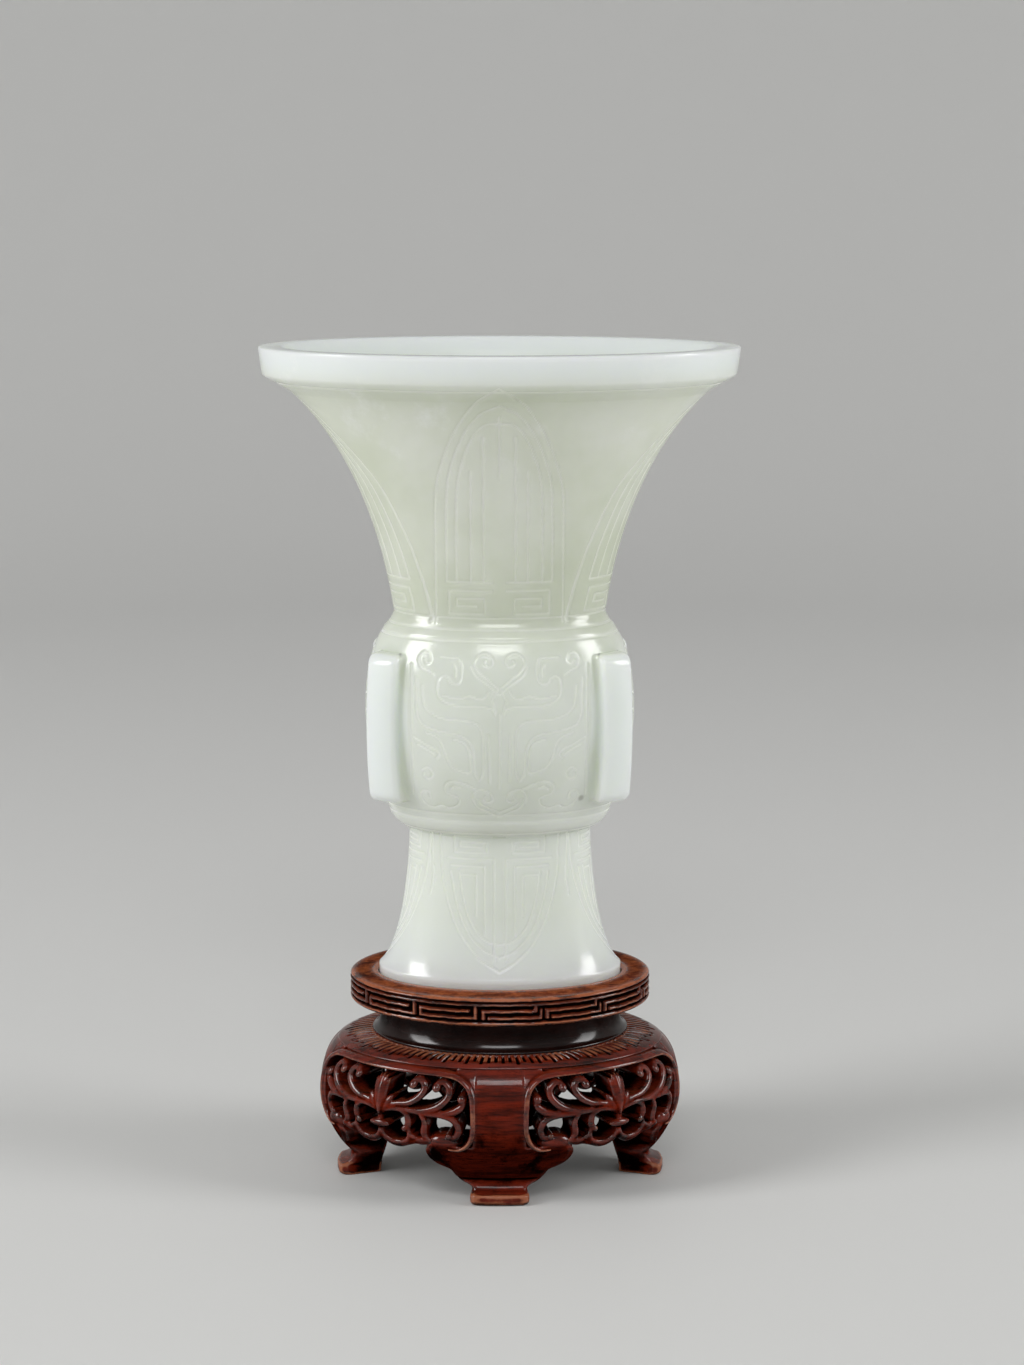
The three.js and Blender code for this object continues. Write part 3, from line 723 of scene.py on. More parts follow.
def hardwood(name, dark, red, worn_and_highlit, grain, wax, rubbed_top=0.0, top_wear_and_light_share=0.0):
    """Waxed hardwood: long grain, pores, edges and tops lightened by use and by painted light, and painted
    shade that goes near black in hollows and recesses and darker on undersides.
    """
    material, shader, kit = new_material(name)
    place_on = kit.add("ShaderNodeTexCoord", output=3)
    broad_grain, pore_grain = (tuple(size * step for step in grain) for size in (BROAD_GRAIN, PORE_GRAIN))
    broad = spots(kit, stretched(kit, place_on, broad_grain), *WOOD_BROAD)
    streak = spots(kit, stretched(kit, place_on, grain), *WOOD_STREAKS)
    pores = spots(kit, stretched(kit, place_on, pore_grain), *WOOD_PORES)
    patch = spots(kit, place_on, *WOOD_PATCHES)
    speck = spots(kit, place_on, *WOOD_SPECKS)
    wear = point_value(kit, "wear")
    crest = point_value(kit, "crest")
    hollow = point_value(kit, "hollow")
    facing = kit.add("ShaderNodeNewGeometry", output=1)
    up = kit.add("ShaderNodeSeparateXYZ", None, {"Vector": facing}, output=2)
    figure = (streak * 0.5 + broad * 0.5).ramp(0.34, 0.63)
    wood = figure.blend(dark, red)
    # Crests lightened by use and by a painted highlight on edges
    rubbed_and_highlit = (wear * 1.6 + patch * 2.4 - 1.75).ramp(0.0, 0.9)
    # Up-facing surfaces lightened in speckled patches: partly use, partly painted light on tops
    top_wear_and_light = up.ramp(0.75, 1.0) * (speck * 0.4 + patch * 0.6).ramp(0.28, 0.72) * top_wear_and_light_share
    edged = (rubbed_and_highlit * 0.9 + top_wear_and_light).ramp(0.0, 1.0).blend(wood, worn_and_highlit)
    # black: the colour of painted shade in hollows, recesses and undersides, and of dark pores and patches
    black = tuple(HOLLOW_TONE * part for part in dark[:3]) + (1.0,)
    # under: painted shade, a darker colour and less coat on surfaces that face down
    under = (0.0 - up).ramp(0.0, 0.4)
    # Painted shade from hollows, recesses, notch bottoms and undersides, with dark pores and patches in the
    # grain
    grime_and_shade = hollow * 2.6 + pores.ramp(0.56, 0.7) * 0.4 + patch.ramp(0.5, 0.7) * 0.45 + under * 0.6
    link(grime_and_shade.ramp(0.08, 1.0).blend(edged, black), shader, "Base Color")
    link(0.3 + patch * 0.3 + hollow * 0.3, shader, "Roughness")
    polish = wax + crest * 1.6 + up.ramp(0.15, 0.7) * rubbed_top - hollow * 2.0 - patch * 0.3 - under * 0.3
    link(polish.ramp(0.0, 1.0), shader, "Coat Weight")
    relief = streak * 0.5 - pores * 0.8 + patch * 0.9 + speck * 0.9
    link(bump(kit, relief, 0.6, 0.0004), shader, "Normal")
    set_plain(shader, WAX_PLAIN)
    return material


SCROLL_GRAIN = (120.0, 700.0, 1100.0)
RIM_GRAIN = (60.0, 900.0, 700.0)
WAIST_GRAIN = (70.0, 800.0, 900.0)


def scroll_wood(finishes):
    """Carved wood of the shoulder, legs and panels, made once."""
    made = bpy.data.materials.get("scroll_wood")
    tones = (finishes.wood_dark, finishes.wood_red, finishes.wood_worn_and_highlit)
    return made or hardwood("scroll_wood", *tones, SCROLL_GRAIN, wax=0.34, rubbed_top=0.45, top_wear_and_light_share=0.35)


def rim_wood(finishes):
    """Lighter wood of the rim, lighter still in speckled patches on its top, by use and by painted light."""
    tones = (finishes.rim_dark, finishes.rim_red, finishes.rim_worn_and_highlit)
    return hardwood("rim_wood", *tones, RIM_GRAIN, wax=0.22, top_wear_and_light_share=0.85)


def waist_wood(finishes):
    """Near-black wood of the waist and the seat's floor."""
    tones = (finishes.waist_dark, finishes.wood_dark, finishes.wood_red)
    return hardwood("waist_wood", *tones, WAIST_GRAIN, wax=0.3, rubbed_top=0.6)


# Settings that a user would change

def millimetres(label, words, size):
    return FloatProperty(
        name=label, description=words, default=size * MM, unit="LENGTH", precision=5)


def number(label, words, default, least):
    return IntProperty(name=label, description=words, default=default, min=least)


def watts(label, words, default):
    return FloatProperty(name=label, description=words, default=default, unit="POWER")


def colour(label, words, default):
    return FloatVectorProperty(
        name=label, description=words, subtype="COLOR", size=4, min=0, max=1, default=default)


class VaseSizes(bpy.types.PropertyGroup):
    """Sizes of the carving and the flanges."""

    line_width: millimetres("Line width", "Width of a carved line", 0.8)
    line_depth: millimetres("Line depth", "Depth of a carved line", 0.3)
    grid_step: millimetres("Grid step", "Spacing of points on the carved outside", 0.42)
    columns: number("Columns", "Points round the vase", 600, 80)
    flange_width: millimetres("Flange width", "Width of an upright flange", 9.5)
    flange_reach: millimetres("Flange reach", "How far a flange stands off the belly", 5.6)


class StandSizes(bpy.types.PropertyGroup):
    """Sizes of the carving on the stand."""

    fret_depth: millimetres("Fret depth", "Depth of the ground of the key fret", 0.9)
    fret_units: number("Fret units", "Hooks round the rim", 13, 2)
    notch_depth: millimetres("Notch depth", "Depth of a notch on the shoulder", 0.95)
    notches: number("Notches", "Notches round the shoulder", 112, 8)
    bead_width: millimetres("Bead width", "Width of the bead round a pierced panel", 1.7)
    tendril_width: millimetres("Tendril width", "Width of a scroll at its widest", 2.1)
    panel_depth: millimetres("Panel depth", "Thickness of a pierced panel", 9.5)
    skin: millimetres("Skin", "Fineness of the carved wood's surface", 0.27)


class Finishes(bpy.types.PropertyGroup):
    """Colours of the jade and the wood."""

    jade_body: colour("Jade", "The stone's main colour", (0.715, 0.745, 0.665, 1.0))
    jade_deep: colour("Deep jade", "Cloudy areas inside the stone", (0.565, 0.605, 0.49, 1.0))
    jade_edge: colour("Jade edge", "Thin edges that light passes through", (0.745, 0.795, 0.785, 1.0))
    jade_line: colour("Cut line", "The matt bottom of a carved line", (0.90, 0.92, 0.88, 1.0))
    jade_milk: colour("Jade clouds", "Milky patches in the stone", (0.83, 0.86, 0.83, 1.0))
    jade_spot: colour("Spot", "One small dark spot low on the belly", (0.22, 0.22, 0.17, 1.0))
    jade_vein: colour("Vein", "Faint brown veins", (0.43, 0.36, 0.24, 1.0))
    wood_dark: colour("Dark wood", "Dark grain of the stand", (0.014, 0.0036, 0.0025, 1.0))
    wood_red: colour("Red wood", "Light grain of the stand", (0.150, 0.0135, 0.0044, 1.0))
    # Tone of edges lightened by use and by a painted highlight
    wood_worn_and_highlit: colour("Worn wood", "Rubbed edges of the stand", (0.32, 0.10, 0.045, 1.0))
    rim_dark: colour("Rim grain", "Dark grain of the rim", (0.020, 0.0050, 0.0030, 1.0))
    rim_red: colour("Rim wood", "Light grain of the rim", (0.120, 0.020, 0.0080, 1.0))
    # Tone of the rim's edges and top, lightened by use and by painted light
    rim_worn_and_highlit: colour("Worn rim", "Rubbed edges and top of the rim", (0.35, 0.095, 0.034, 1.0))
    waist_dark: colour("Waist", "Near-black wood of the waist", (0.006, 0.0025, 0.002, 1.0))


class StageSettings(bpy.types.PropertyGroup):
    """Floor, lamps and camera."""

    floor_colour: colour("Floor", "Plain pale floor and backdrop", (0.72, 0.72, 0.71, 1.0))
    key_power: watts("Key lamp", "Power of the left soft box", 16.5)
    fill_power: watts("Fill lamp", "Power of the right soft box", 11.5)
    top_power: watts("Top lamp", "Power of the overhead soft box", 3.6)
    room_light: FloatProperty(
        name="Room light", description="Strength of the plain surrounding light", default=0.3)
    lens: FloatProperty(
        name="Lens", description="Focal length on a 36 mm frame", default=75.8, subtype="DISTANCE_CAMERA")


class GuVaseSettings(bpy.types.PropertyGroup):
    """All settings of the vase and its stand."""

    vase: PointerProperty(type=VaseSizes)
    stand: PointerProperty(type=StandSizes)
    finishes: PointerProperty(type=Finishes)
    stage: PointerProperty(type=StageSettings)


# Vase

def oval_of(low, high, height):
    """The oval that fills a node's box, at one height."""
    return oval(high[0] - low[0], high[1] - low[1], height)


def vase_oval(width, depth, height):
    """An oval of the vase, its height counted from the vase's own foot."""
    return oval(width, depth, VASE_BASE + height)


def vase_ovals():
    """The named ovals that the vase's outside runs through, at their heights above the table."""
    lip = oval_of(VASE_LOW, VASE_HIGH, VASE_HIGH[2])
    lip_base = inset(lip, LIP_TAPER, VASE_HIGH[2] - LIP_BAND)
    return {
        "foot": vase_oval(*FOOT, 0),
        "stem": vase_oval(*STEM),
        "belly_base": vase_oval(*BELLY_BASE),
        "crown": vase_oval(*BELLY_CROWN),
        "neck": vase_oval(*NECK),
        "trumpet_top": lip_base - np.array([*LIP_UNDERCUT, LIP_UNDERCUT_HEIGHT]),
        "lip_base": lip_base,
        "lip": lip,
    }


FOOT_BAND_STEPS = 2
LIP_BAND_STEPS = 2.5


def vase_outside(step):
    """The outside of the vase from the foot to the top of the lip."""
    at = vase_ovals()
    foot_base = inset(at["foot"], 0, VASE_BASE + FOOT_EDGE)
    foot_top = inset(at["foot"], 0, VASE_BASE + FOOT_BAND_HEIGHT)
    lip_top = inset(at["lip"], 0, at["lip"][2] - LIP_EDGE)
    foot_edge, lip_edge = FOOT_EDGE * EDGE_MIDDLE, LIP_EDGE * EDGE_MIDDLE
    from_end = np.array(FLANGE_END_LEVELS)
    flange_ends = np.concatenate([FLANGE_BOTTOM + from_end, FLANGE_TOP - from_end])
    belly = evenly(swell(at["belly_base"], at["crown"], BELLY_SWELL), step)
    return joined(
        inset(at["foot"], FOOT_EDGE),
        inset(at["foot"], foot_edge, VASE_BASE + foot_edge),
        evenly(np.stack([foot_base, foot_top]), FOOT_BAND_STEPS * step),
        evenly(sweep(foot_top, at["stem"], FOOT_BENDS), step),
        evenly(sweep(at["stem"], at["belly_base"], BELLY_BASE_BENDS), step),
        with_levels(belly, VASE_BASE + flange_ends),
        evenly(sweep(at["crown"], at["neck"], CROWN_BENDS), step),
        evenly(sweep(at["neck"], at["trumpet_top"], TRUMPET_BENDS), step),
        evenly(sweep(at["trumpet_top"], at["lip_base"], LIP_BENDS), step),
        evenly(np.stack([at["lip_base"], lip_top]), LIP_BAND_STEPS * step),
        inset(at["lip"], lip_edge, at["lip"][2] - lip_edge),
        inset(at["lip"], LIP_EDGE),
    )


def vase_inside(step):
    """The mouth, throat and well, from the lip down."""
    at = vase_ovals()
    mouth = inset(at["lip"], LIP_WALL)
    throat = inset(at["neck"], NECK_WALL)
    well = oval(*WELL, VASE_BASE + (WELL_FLOOR + NECK[2]) / 2)
    well_base = inset(well, WELL_ROUNDING, VASE_BASE + WELL_FLOOR)
    return joined(
        inset(mouth, -LIP_EDGE),
        inset(mouth, 0, mouth[2] - LIP_EDGE),
        evenly(sweep(mouth, throat, MOUTH_BENDS), step)[1:],
        evenly(sweep(throat, well, THROAT_BENDS), step),
        evenly(sweep(well, well_base, WELL_BENDS), step),
    )


# Paleness: a painted glow at the lip, a paler tone on the foot and belly
THIN_LIP_DEPTH = 13.0
PALE_FOOT = 0.62
PALE_BELLY = 0.35
PALE_BELLY_FROM = NECK[2] + 8.0
PALE_BELLY_FULL = BELLY_CROWN[2] - 6.0
INSIDE_STEP = 2.2

# Flanges on the belly
FLANGE_TURN = math.radians(54)
FLANGE_BOW = 1.6
FLANGE_CORNER = 3.0
FLANGE_BOTTOM = 56.0
FLANGE_TOP = 97.4
FLANGE_TURNS = (FLANGE_TURN, math.pi - FLANGE_TURN, math.pi + FLANGE_TURN, 2 * math.pi - FLANGE_TURN)
FLANGE_FACING = math.radians(32)
FLANGE_STAND = (29.9, -12.9)
FLANGE_FILLET = 1.3
FLANGE_ROUND = 1.5
FLANGE_END_ROUND = 1.2
FLANGE_END_LEVELS = (-0.02, 0.0, 0.06, 0.15, 0.3, 0.5, 0.8, 1.2, 1.7, 2.3)
FLANGE_CROWN = 0.25
FLANGE_MARGIN = 1.4
FLANGE_MIDDLE = 0.3
FLANGE_SEAM = 0.05
FLANGE_SEARCH = 0.5
FLANGE_COLUMNS = 68
FLANGE_SAMPLES = 401
FLANGE_ROUND_POINTS = 7
FLANGE_FACE_POINTS = 5
# Painted light on the flanges: their raised parts made paler, as a glow of light through them and to lighten
# the shade on their inner sides; more on the outer side
FLANGE_INNER_PALE, FLANGE_OUTER_PALE = 0.65, 0.2
FLANGE_PALE_FROM, FLANGE_PALE_FULL = 0.5, 3.5


class Flange:
    """One upright flange: where it stands on the belly, and which turns it takes up."""

    def __init__(self, turn, sizes):
        at = vase_ovals()
        belly = inset((at["belly_base"] + at["crown"]) / 2, -BELLY_SWELL)
        quarter = np.array([math.copysign(1.0, math.sin(turn)), math.copysign(1.0, math.cos(turn))])
        self.outward = quarter * np.array([math.sin(FLANGE_FACING), -math.cos(FLANGE_FACING)])
        self.sideways = np.array([-self.outward[1], self.outward[0]])
        self.stand = quarter * np.array(FLANGE_STAND)
        self.half = sizes.flange_width / MM / 2
        self.face = sizes.flange_reach / MM - FLANGE_BOW
        fine = np.linspace(turn - FLANGE_SEARCH, turn + FLANGE_SEARCH, FLANGE_SAMPLES)
        around = np.stack([belly[0] * np.sin(fine), -belly[1] * np.cos(fine)], 1)
        reach = self.half + FLANGE_FILLET + FLANGE_MARGIN
        self.start, self.end = np.interp((-reach, reach), (around - self.stand) @ self.sideways, fine)

    def turns(self):
        return np.linspace(self.start, self.end, FLANGE_COLUMNS)

    def covers(self, turns):
        return (turns > self.start - TINY) & (turns < self.end + TINY)

    def outline(self, across, out, cut, height):
        """Plan at one height, from the belly on one side to the belly on the other: across, out and cut."""
        from_end = max(0.0, min(height - FLANGE_BOTTOM, FLANGE_TOP - height))
        rounding = max(0.0, 1 - from_end / FLANGE_CORNER)
        narrowing = max(0.0, 1 - from_end / FLANGE_END_ROUND)
        share = (height - FLANGE_BOTTOM) / (FLANGE_TOP - FLANGE_BOTTOM)
        bowed = self.face + FLANGE_BOW * (1 - (2 * share - 1) ** 2)
        reach = bowed - FLANGE_CORNER * (1 - math.sqrt(max(0.0, 1 - rounding**2)))
        half = self.half - FLANGE_END_ROUND * (1 - math.sqrt(max(0.0, 1 - narrowing**2)))
        corner = np.linspace(0, math.pi / 2, FLANGE_ROUND_POINTS)
        flat = half - FLANGE_ROUND
        belly = np.stack([across, out, cut], 1)
        parts = []
        for side in (-1, 1):
            level = np.interp(side * (half + FLANGE_FILLET), across, out)
            hollow = (
                half + FLANGE_FILLET * (1 - np.sin(corner)),
                level + FLANGE_FILLET * (1 - np.cos(corner)),
            )
            edge = (flat + FLANGE_ROUND * np.cos(corner), reach - FLANGE_ROUND * (1 - np.sin(corner)))
            middle = np.linspace(flat, FLANGE_MIDDLE, FLANGE_FACE_POINTS)[1:]
            crown = (middle, reach + FLANGE_CROWN * (1 - (middle / flat) ** 2))
            plan = np.concatenate([np.stack(run, 1) for run in (hollow, edge, crown)])
            part = np.stack([side * plan[:, 0], plan[:, 1], np.zeros(len(plan))], 1)
            parts.append(part if side < 0 else part[::-1])
        foot = half + FLANGE_FILLET + FLANGE_SEAM
        return np.concatenate([belly[across < -foot], *parts, belly[across > foot]])

    def raise_on(self, shell, cut, pale, turns):
        """Draws the belly's points out over the flange, row by row."""
        window = np.where(self.covers(turns))[0]
        outer_side = math.copysign(1.0, self.stand[0] * self.sideways[0])
        for row, level in enumerate(shell[:, 0, 2] - VASE_BASE):
            if level < FLANGE_BOTTOM - TINY or level > FLANGE_TOP + TINY:
                continue
            plan = shell[row, window, :2] - self.stand
            line = self.outline(plan @ self.sideways, plan @ self.outward, cut[row, window], level)
            steps = np.linalg.norm(np.diff(line[:, :2], axis=0), axis=1)
            walked = np.concatenate([[0], np.cumsum(steps)])
            places = np.linspace(0, walked[-1], len(window))
            across, out, marks = (np.interp(places, walked, line[:, i]) for i in range(3))
            moved = across[:, None] * self.sideways + out[:, None] * self.outward
            shell[row, window, :2] = self.stand + moved
            cut[row, window] = marks
            # pale: painted light, the flange made paler as if lit through and lightened against the shade on
            # its inner side
            away = smoothstep(-self.half, self.half, across * outer_side)
            proud = smoothstep(FLANGE_PALE_FROM, FLANGE_PALE_FULL, out)
            pale[row, window] = proud * (FLANGE_INNER_PALE + FLANGE_OUTER_PALE * away)


def vase_turns(columns, flanges):
    """Turns round the vase, closer together where a flange stands."""
    turns = even_turns(columns, STEM[1] / STEM[0])
    for flange in flanges:
        turns = np.concatenate([turns[~flange.covers(turns)], flange.turns()])
    return np.sort(turns)


def vase_recess():
    """The hollow under the foot, from its ceiling down to its edge."""
    foot = vase_oval(*FOOT, 0)
    return np.stack([inset(foot, FOOT_RIM_WALL, VASE_BASE + FOOT_RECESS), inset(foot, FOOT_RIM_WALL)])


def paleness(height, flange_pale):
    """How pale the stone is at each point: a painted glow of light through the lip and the flanges, and a
    paler tone on the foot and belly.
    """
    lip = smoothstep(VASE_HIGH[2] - THIN_LIP_DEPTH, VASE_HIGH[2], height)
    base = smoothstep(VASE_BASE + BELLY_BASE[2], VASE_BASE, height)
    belly = smoothstep(PALE_BELLY_FROM, PALE_BELLY_FULL, height - VASE_BASE)
    return np.max([lip, PALE_FOOT * base, PALE_BELLY * belly, flange_pale], axis=0)


class GUVASE_OT_carve_vase(bpy.types.Operator):
    """Carves the vase from one stone: trumpet mouth, masked belly with four flanges, stem and a deep well"""

    bl_idname = "gu_vase.carve_vase"
    bl_label = "Carve the vase"

    def execute(self, context):
        settings = context.scene.gu_vase
        sizes = settings.vase
        outside = vase_outside(sizes.grid_step / MM)
        recess = vase_recess()
        inside = vase_inside(INSIDE_STEP)
        flanges = [Flange(turn, sizes) for turn in FLANGE_TURNS]
        turns = vase_turns(sizes.columns, flanges)
        shell = turned(outside, turns)
        half = sizes.line_width / MM / 2
        cut = 0.5 + 0.5 * np.cos(math.pi * np.clip(carving(shell) / half, 0, 1))
        shell = shell - grid_normals(shell) * (cut * sizes.line_depth / MM)[..., None]
        pale = np.zeros(cut.shape)
        for flange in flanges:
            flange.raise_on(shell, cut, pale, turns)
        grid = np.concatenate([turned(recess, turns), shell, turned(inside, turns)])
        rows = len(grid)
        first = np.array([0, 0, VASE_BASE + FOOT_RECESS])
        last = np.array([0, 0, VASE_BASE + WELL_FLOOR])
        points = np.concatenate([grid.reshape(-1, 3), [first, last]])
        faces = grid_faces(rows, len(turns))
        faces += fan_faces(len(points) - 2, 0, len(turns), facing_up=False)
        faces += fan_faces(len(points) - 1, (rows - 1) * len(turns), len(turns), facing_up=True)
        mesh = make_mesh("vase_body", points, faces)
        outer_rows = slice(len(recess), len(recess) + len(outside))
        marks = np.zeros((2, rows, len(turns)))
        marks[:, outer_rows] = cut, pale
        marks = np.concatenate([marks.reshape(2, -1), np.zeros((2, 2))], 1)
        set_values(mesh, "cut", marks[0])
        set_values(mesh, "thin", paleness(points[:, 2], marks[1]))
        place(mesh, "jade_vase", "vase", polished_jade(settings.finishes))
        return {"FINISHED"}


# Stand: rim, floor, waist and shoulder

FRET_LOW, FRET_HIGH = 1.0, 7.05
FRET_BARS = (6.1, 4.2, 2.3)
FRET_BAR_HALF = 0.5
FRET_SHIFT = -5.7
FRET_WAVER = 0.05
FRET_WAVES = ((1.0, 0.9, 0.0), (0.6, 2.3, 1.0))
FRET_FAR = 9.0
FRET_SLOPE = (-0.35, 0.3)
FRET_BAND_SLOPE = (0.0, 0.3)
RIM_COLUMNS = 900
RIM_EDGE_POINTS = 5


def fret_bars(length, turning_up):
    """One hook of the fret as boxes: along, height, half length and half height."""
    top, middle, bottom = FRET_BARS
    half = FRET_BAR_HALF
    if turning_up:
        spans = (
            (0.7, length - 1.5, middle, middle),
            (2.4, length - 0.1, bottom, bottom),
            (0.7, 1.8, bottom, middle),
            (length - 2.6, length - 1.5, middle, top),
            (length - 0.8, length - 0.1, bottom, middle),
        )
    else:
        spans = (
            (0.5, length - 2.6, middle, middle),
            (0.5, length - 0.4, bottom, bottom),
            (0.5, 1.6, bottom, middle),
            (length - 1.5, length - 0.4, bottom, top),
        )
    spans += ((-half, length + half, top, top),)
    return [
        ((start + end) / 2, (low + high) / 2, (end - start) / 2, (high - low) / 2 + half)
        for start, end, low, high in spans
    ]


def fret_ground(along, height, length, units):
    """How deep the fret's ground is cut at each point, from 0 to 1."""
    unit = np.floor((along - FRET_SHIFT) / length)
    inside = along - FRET_SHIFT - unit * length
    waves = sum(share * np.sin(pace * along + start) for share, pace, start in FRET_WAVES)
    height = height + FRET_WAVER * waves
    away = np.full(along.shape, FRET_FAR)
    for turning_up in (True, False):
        nearest = np.full(along.shape, FRET_FAR)
        for x, z, half_length, half_height in fret_bars(length, turning_up):
            box = np.maximum(np.abs(inside - x) - half_length, np.abs(height - z) - half_height)
            nearest = np.minimum(nearest, box)
        away = np.where((unit % units < units / 2) == turning_up, nearest, away)
    band = np.minimum(height - FRET_LOW, FRET_HIGH - height)
    return smoothstep(*FRET_SLOPE, away) * smoothstep(*FRET_BAND_SLOPE, band)


def rim_path(outer, seat):
    """Section of the rim: from its rabbet round the outside, over the top and down into the seat."""
    rabbet = inset(seat, -PANEL_LAP)
    quarter = np.linspace(0, math.pi / 2, RIM_EDGE_POINTS)[1:-1]
    rounding = [(RIM_EDGE * (1 - math.sin(turn)), RIM_EDGE * (1 - math.cos(turn))) for turn in quarter]
    low_edge = [inset(outer, across, RIM_BASE + up) for across, up in rounding]
    high_edge = [inset(outer, across, RIM_TOP - down) for down, across in rounding]
    underside = np.stack([inset(rabbet, 0, RIM_BASE), inset(outer, RIM_EDGE, RIM_BASE)])
    side = np.stack([inset(outer, 0, RIM_BASE + RIM_EDGE), inset(outer, 0, RIM_TOP - RIM_EDGE)])
    flat = np.stack([inset(outer, RIM_EDGE, RIM_TOP), inset(seat, -SEAT_EDGE, RIM_TOP)])
    return joined(
        evenly(underside, RIM_UNDERSIDE_STEP),
        np.array(low_edge),
        evenly(side, FRET_STEP),
        np.array(high_edge),
        evenly(flat, RIM_FLAT_STEP),
        inset(seat, -SEAT_EDGE_MIDDLE, RIM_TOP - SEAT_EDGE_MIDDLE),
        inset(seat, 0, RIM_TOP - SEAT_EDGE),
        inset(seat, 0, VASE_BASE),
        inset(rabbet, 0, VASE_BASE),
    )


class GUVASE_OT_cut_rim(bpy.types.Operator):
    """Cuts the oval rim with a key fret round its side"""

    bl_idname = "gu_vase.cut_rim"
    bl_label = "Cut the stand's rim"

    def execute(self, context):
        settings = context.scene.gu_vase
        sizes = settings.stand
        outer = oval_of(RIM_LOW, RIM_HIGH, 0)
        path = rim_path(outer, inset(oval(*FOOT, 0), -SEAT_GAP))
        grid, faces = closed_ring(path, even_turns(RIM_COLUMNS, outer[1] / outer[0]))
        around = oval_round(outer)
        along = np.broadcast_to(np.arange(RIM_COLUMNS) * around / RIM_COLUMNS, grid.shape[:2])
        height = grid[..., 2] - RIM_BASE
        outside = np.abs(path[:, 0] - outer[0]) < RIM_EDGE
        depth = fret_ground(along, height, around / sizes.fret_units, sizes.fret_units) * outside[:, None]
        outward = grid_normals(grid)
        outward[..., 2] = 0
        grid = grid - outward * (depth * sizes.fret_depth / MM)[..., None]
        mesh = make_mesh("rim_ring", grid, faces)
        mark_wear_and_shade(mesh, scale=0.4, rounds=10)
        place(mesh, "stand_rim", "stand", rim_wood(settings.finishes))
        return {"FINISHED"}


class GUVASE_OT_turn_waist(bpy.types.Operator):
    """Turns the dark hollow waist and finishes the seat's floor"""

    bl_idname = "gu_vase.turn_waist"
    bl_label = "Turn the waist and seat floor"

    def execute(self, context):
        settings = context.scene.gu_vase
        outer = oval_of(WAIST_LOW, WAIST_HIGH, 0)
        bore = oval(*WAIST_BORE, 0)
        low = inset(outer, -WAIST_FLARE, WAIST_FOOT + WAIST_TOE)
        high = inset(outer, WAIST_SCOTIA, RIM_BASE - WAIST_FILLET)
        path = joined(
            inset(bore, 0, WAIST_FOOT),
            inset(low, WAIST_TOE_EDGE, WAIST_FOOT),
            evenly(sweep(low, high, WAIST_BENDS), RING_STEP),
            inset(high, 0, RIM_BASE),
            inset(bore, 0, RIM_BASE),
        )
        grid, faces = closed_ring(path, even_turns(WAIST_COLUMNS, outer[1] / outer[0]))
        mesh = make_mesh("waist_ring", grid, faces)
        mark_wear_and_shade(mesh, scale=0.9, rounds=4, kept=0.2)
        material = waist_wood(settings.finishes)
        place(mesh, "waist", "stand", material)
        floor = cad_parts["seat_panel"]
        floor.data.materials.clear()
        floor.data.materials.append(material)
        return {"FINISHED"}


SHOULDER_COLUMNS = 1500
NOTCH_START, NOTCH_END = 0.28, 0.97
NOTCH_FADE_IN, NOTCH_FADE_OUT = 0.1, 0.06
NOTCH_RAGGED = 0.08
NOTCH_BEAT = 2.4
NOTCH_GAP = 0.25
NOTCH_SHADE = 0.4
WORN_FROM, WORN_TO = (0.2, 0.45), (1.0, 0.9)


def notch_cuts(share, notches):
    """How deep the notches are cut, from 0 to 1, up the slope and round the ring."""
    phase = np.arange(SHOULDER_COLUMNS) / SHOULDER_COLUMNS * notches
    begin = NOTCH_START + NOTCH_RAGGED * np.sin(NOTCH_BEAT * np.floor(phase))
    opening = smoothstep(begin, begin + NOTCH_FADE_IN, share[:, None])
    closing = smoothstep(NOTCH_END, NOTCH_END - NOTCH_FADE_OUT, share)[:, None]
    gouge = np.clip(NOTCH_GAP - np.cos(2 * math.pi * phase), 0, None) / (1 + NOTCH_GAP)
    return opening * closing * gouge


class GUVASE_OT_notch_shoulder(bpy.types.Operator):
    """Shapes the sloping shoulder and cuts the ring of fine notches into it"""

    bl_idname = "gu_vase.notch_shoulder"
    bl_label = "Notch the shoulder"

    def execute(self, context):
        settings = context.scene.gu_vase
        sizes = settings.stand
        brow = oval_of(SHOULDER_LOW, SHOULDER_HIGH, SHOULDER_BASE)
        seat = oval_of(WAIST_LOW, WAIST_HIGH, WAIST_FOOT)
        socket = inset(oval(*WAIST_BORE, 0), -SHOULDER_BORE_WALL)
        start = inset(brow, SHOULDER_SETBACK, SHOULDER_BASE + SHOULDER_GROOVE)
        slope = evenly(sweep(start, seat, SHOULDER_BENDS), RING_STEP)
        below = (inset(socket, 0, SHOULDER_BASE), inset(brow, SHOULDER_EDGE))
        path = joined(*below, slope, inset(seat, SHOULDER_LEDGE), inset(socket, 0, WAIST_FOOT))
        grid, faces = closed_ring(path, even_turns(SHOULDER_COLUMNS, brow[1] / brow[0]))
        share = np.zeros(len(path))
        share[len(below):len(below) + len(slope)] = np.linspace(0, 1, len(slope))
        cut = notch_cuts(share, sizes.notches)
        grid = grid - grid_normals(grid) * (cut * sizes.notch_depth / MM)[..., None]
        mesh = make_mesh("shoulder_ring", grid, faces)
        kept = smoothstep(*WORN_FROM, share) * smoothstep(*WORN_TO, share)
        shade = NOTCH_SHADE * cut.ravel()
        mark_wear_and_shade(mesh, scale=0.22, rounds=14, kept=kept.repeat(SHOULDER_COLUMNS), shade=shade)
        place(mesh, "shoulder", "stand", scroll_wood(settings.finishes))
        return {"FINISHED"}


# Drum that the legs and pierced panels follow

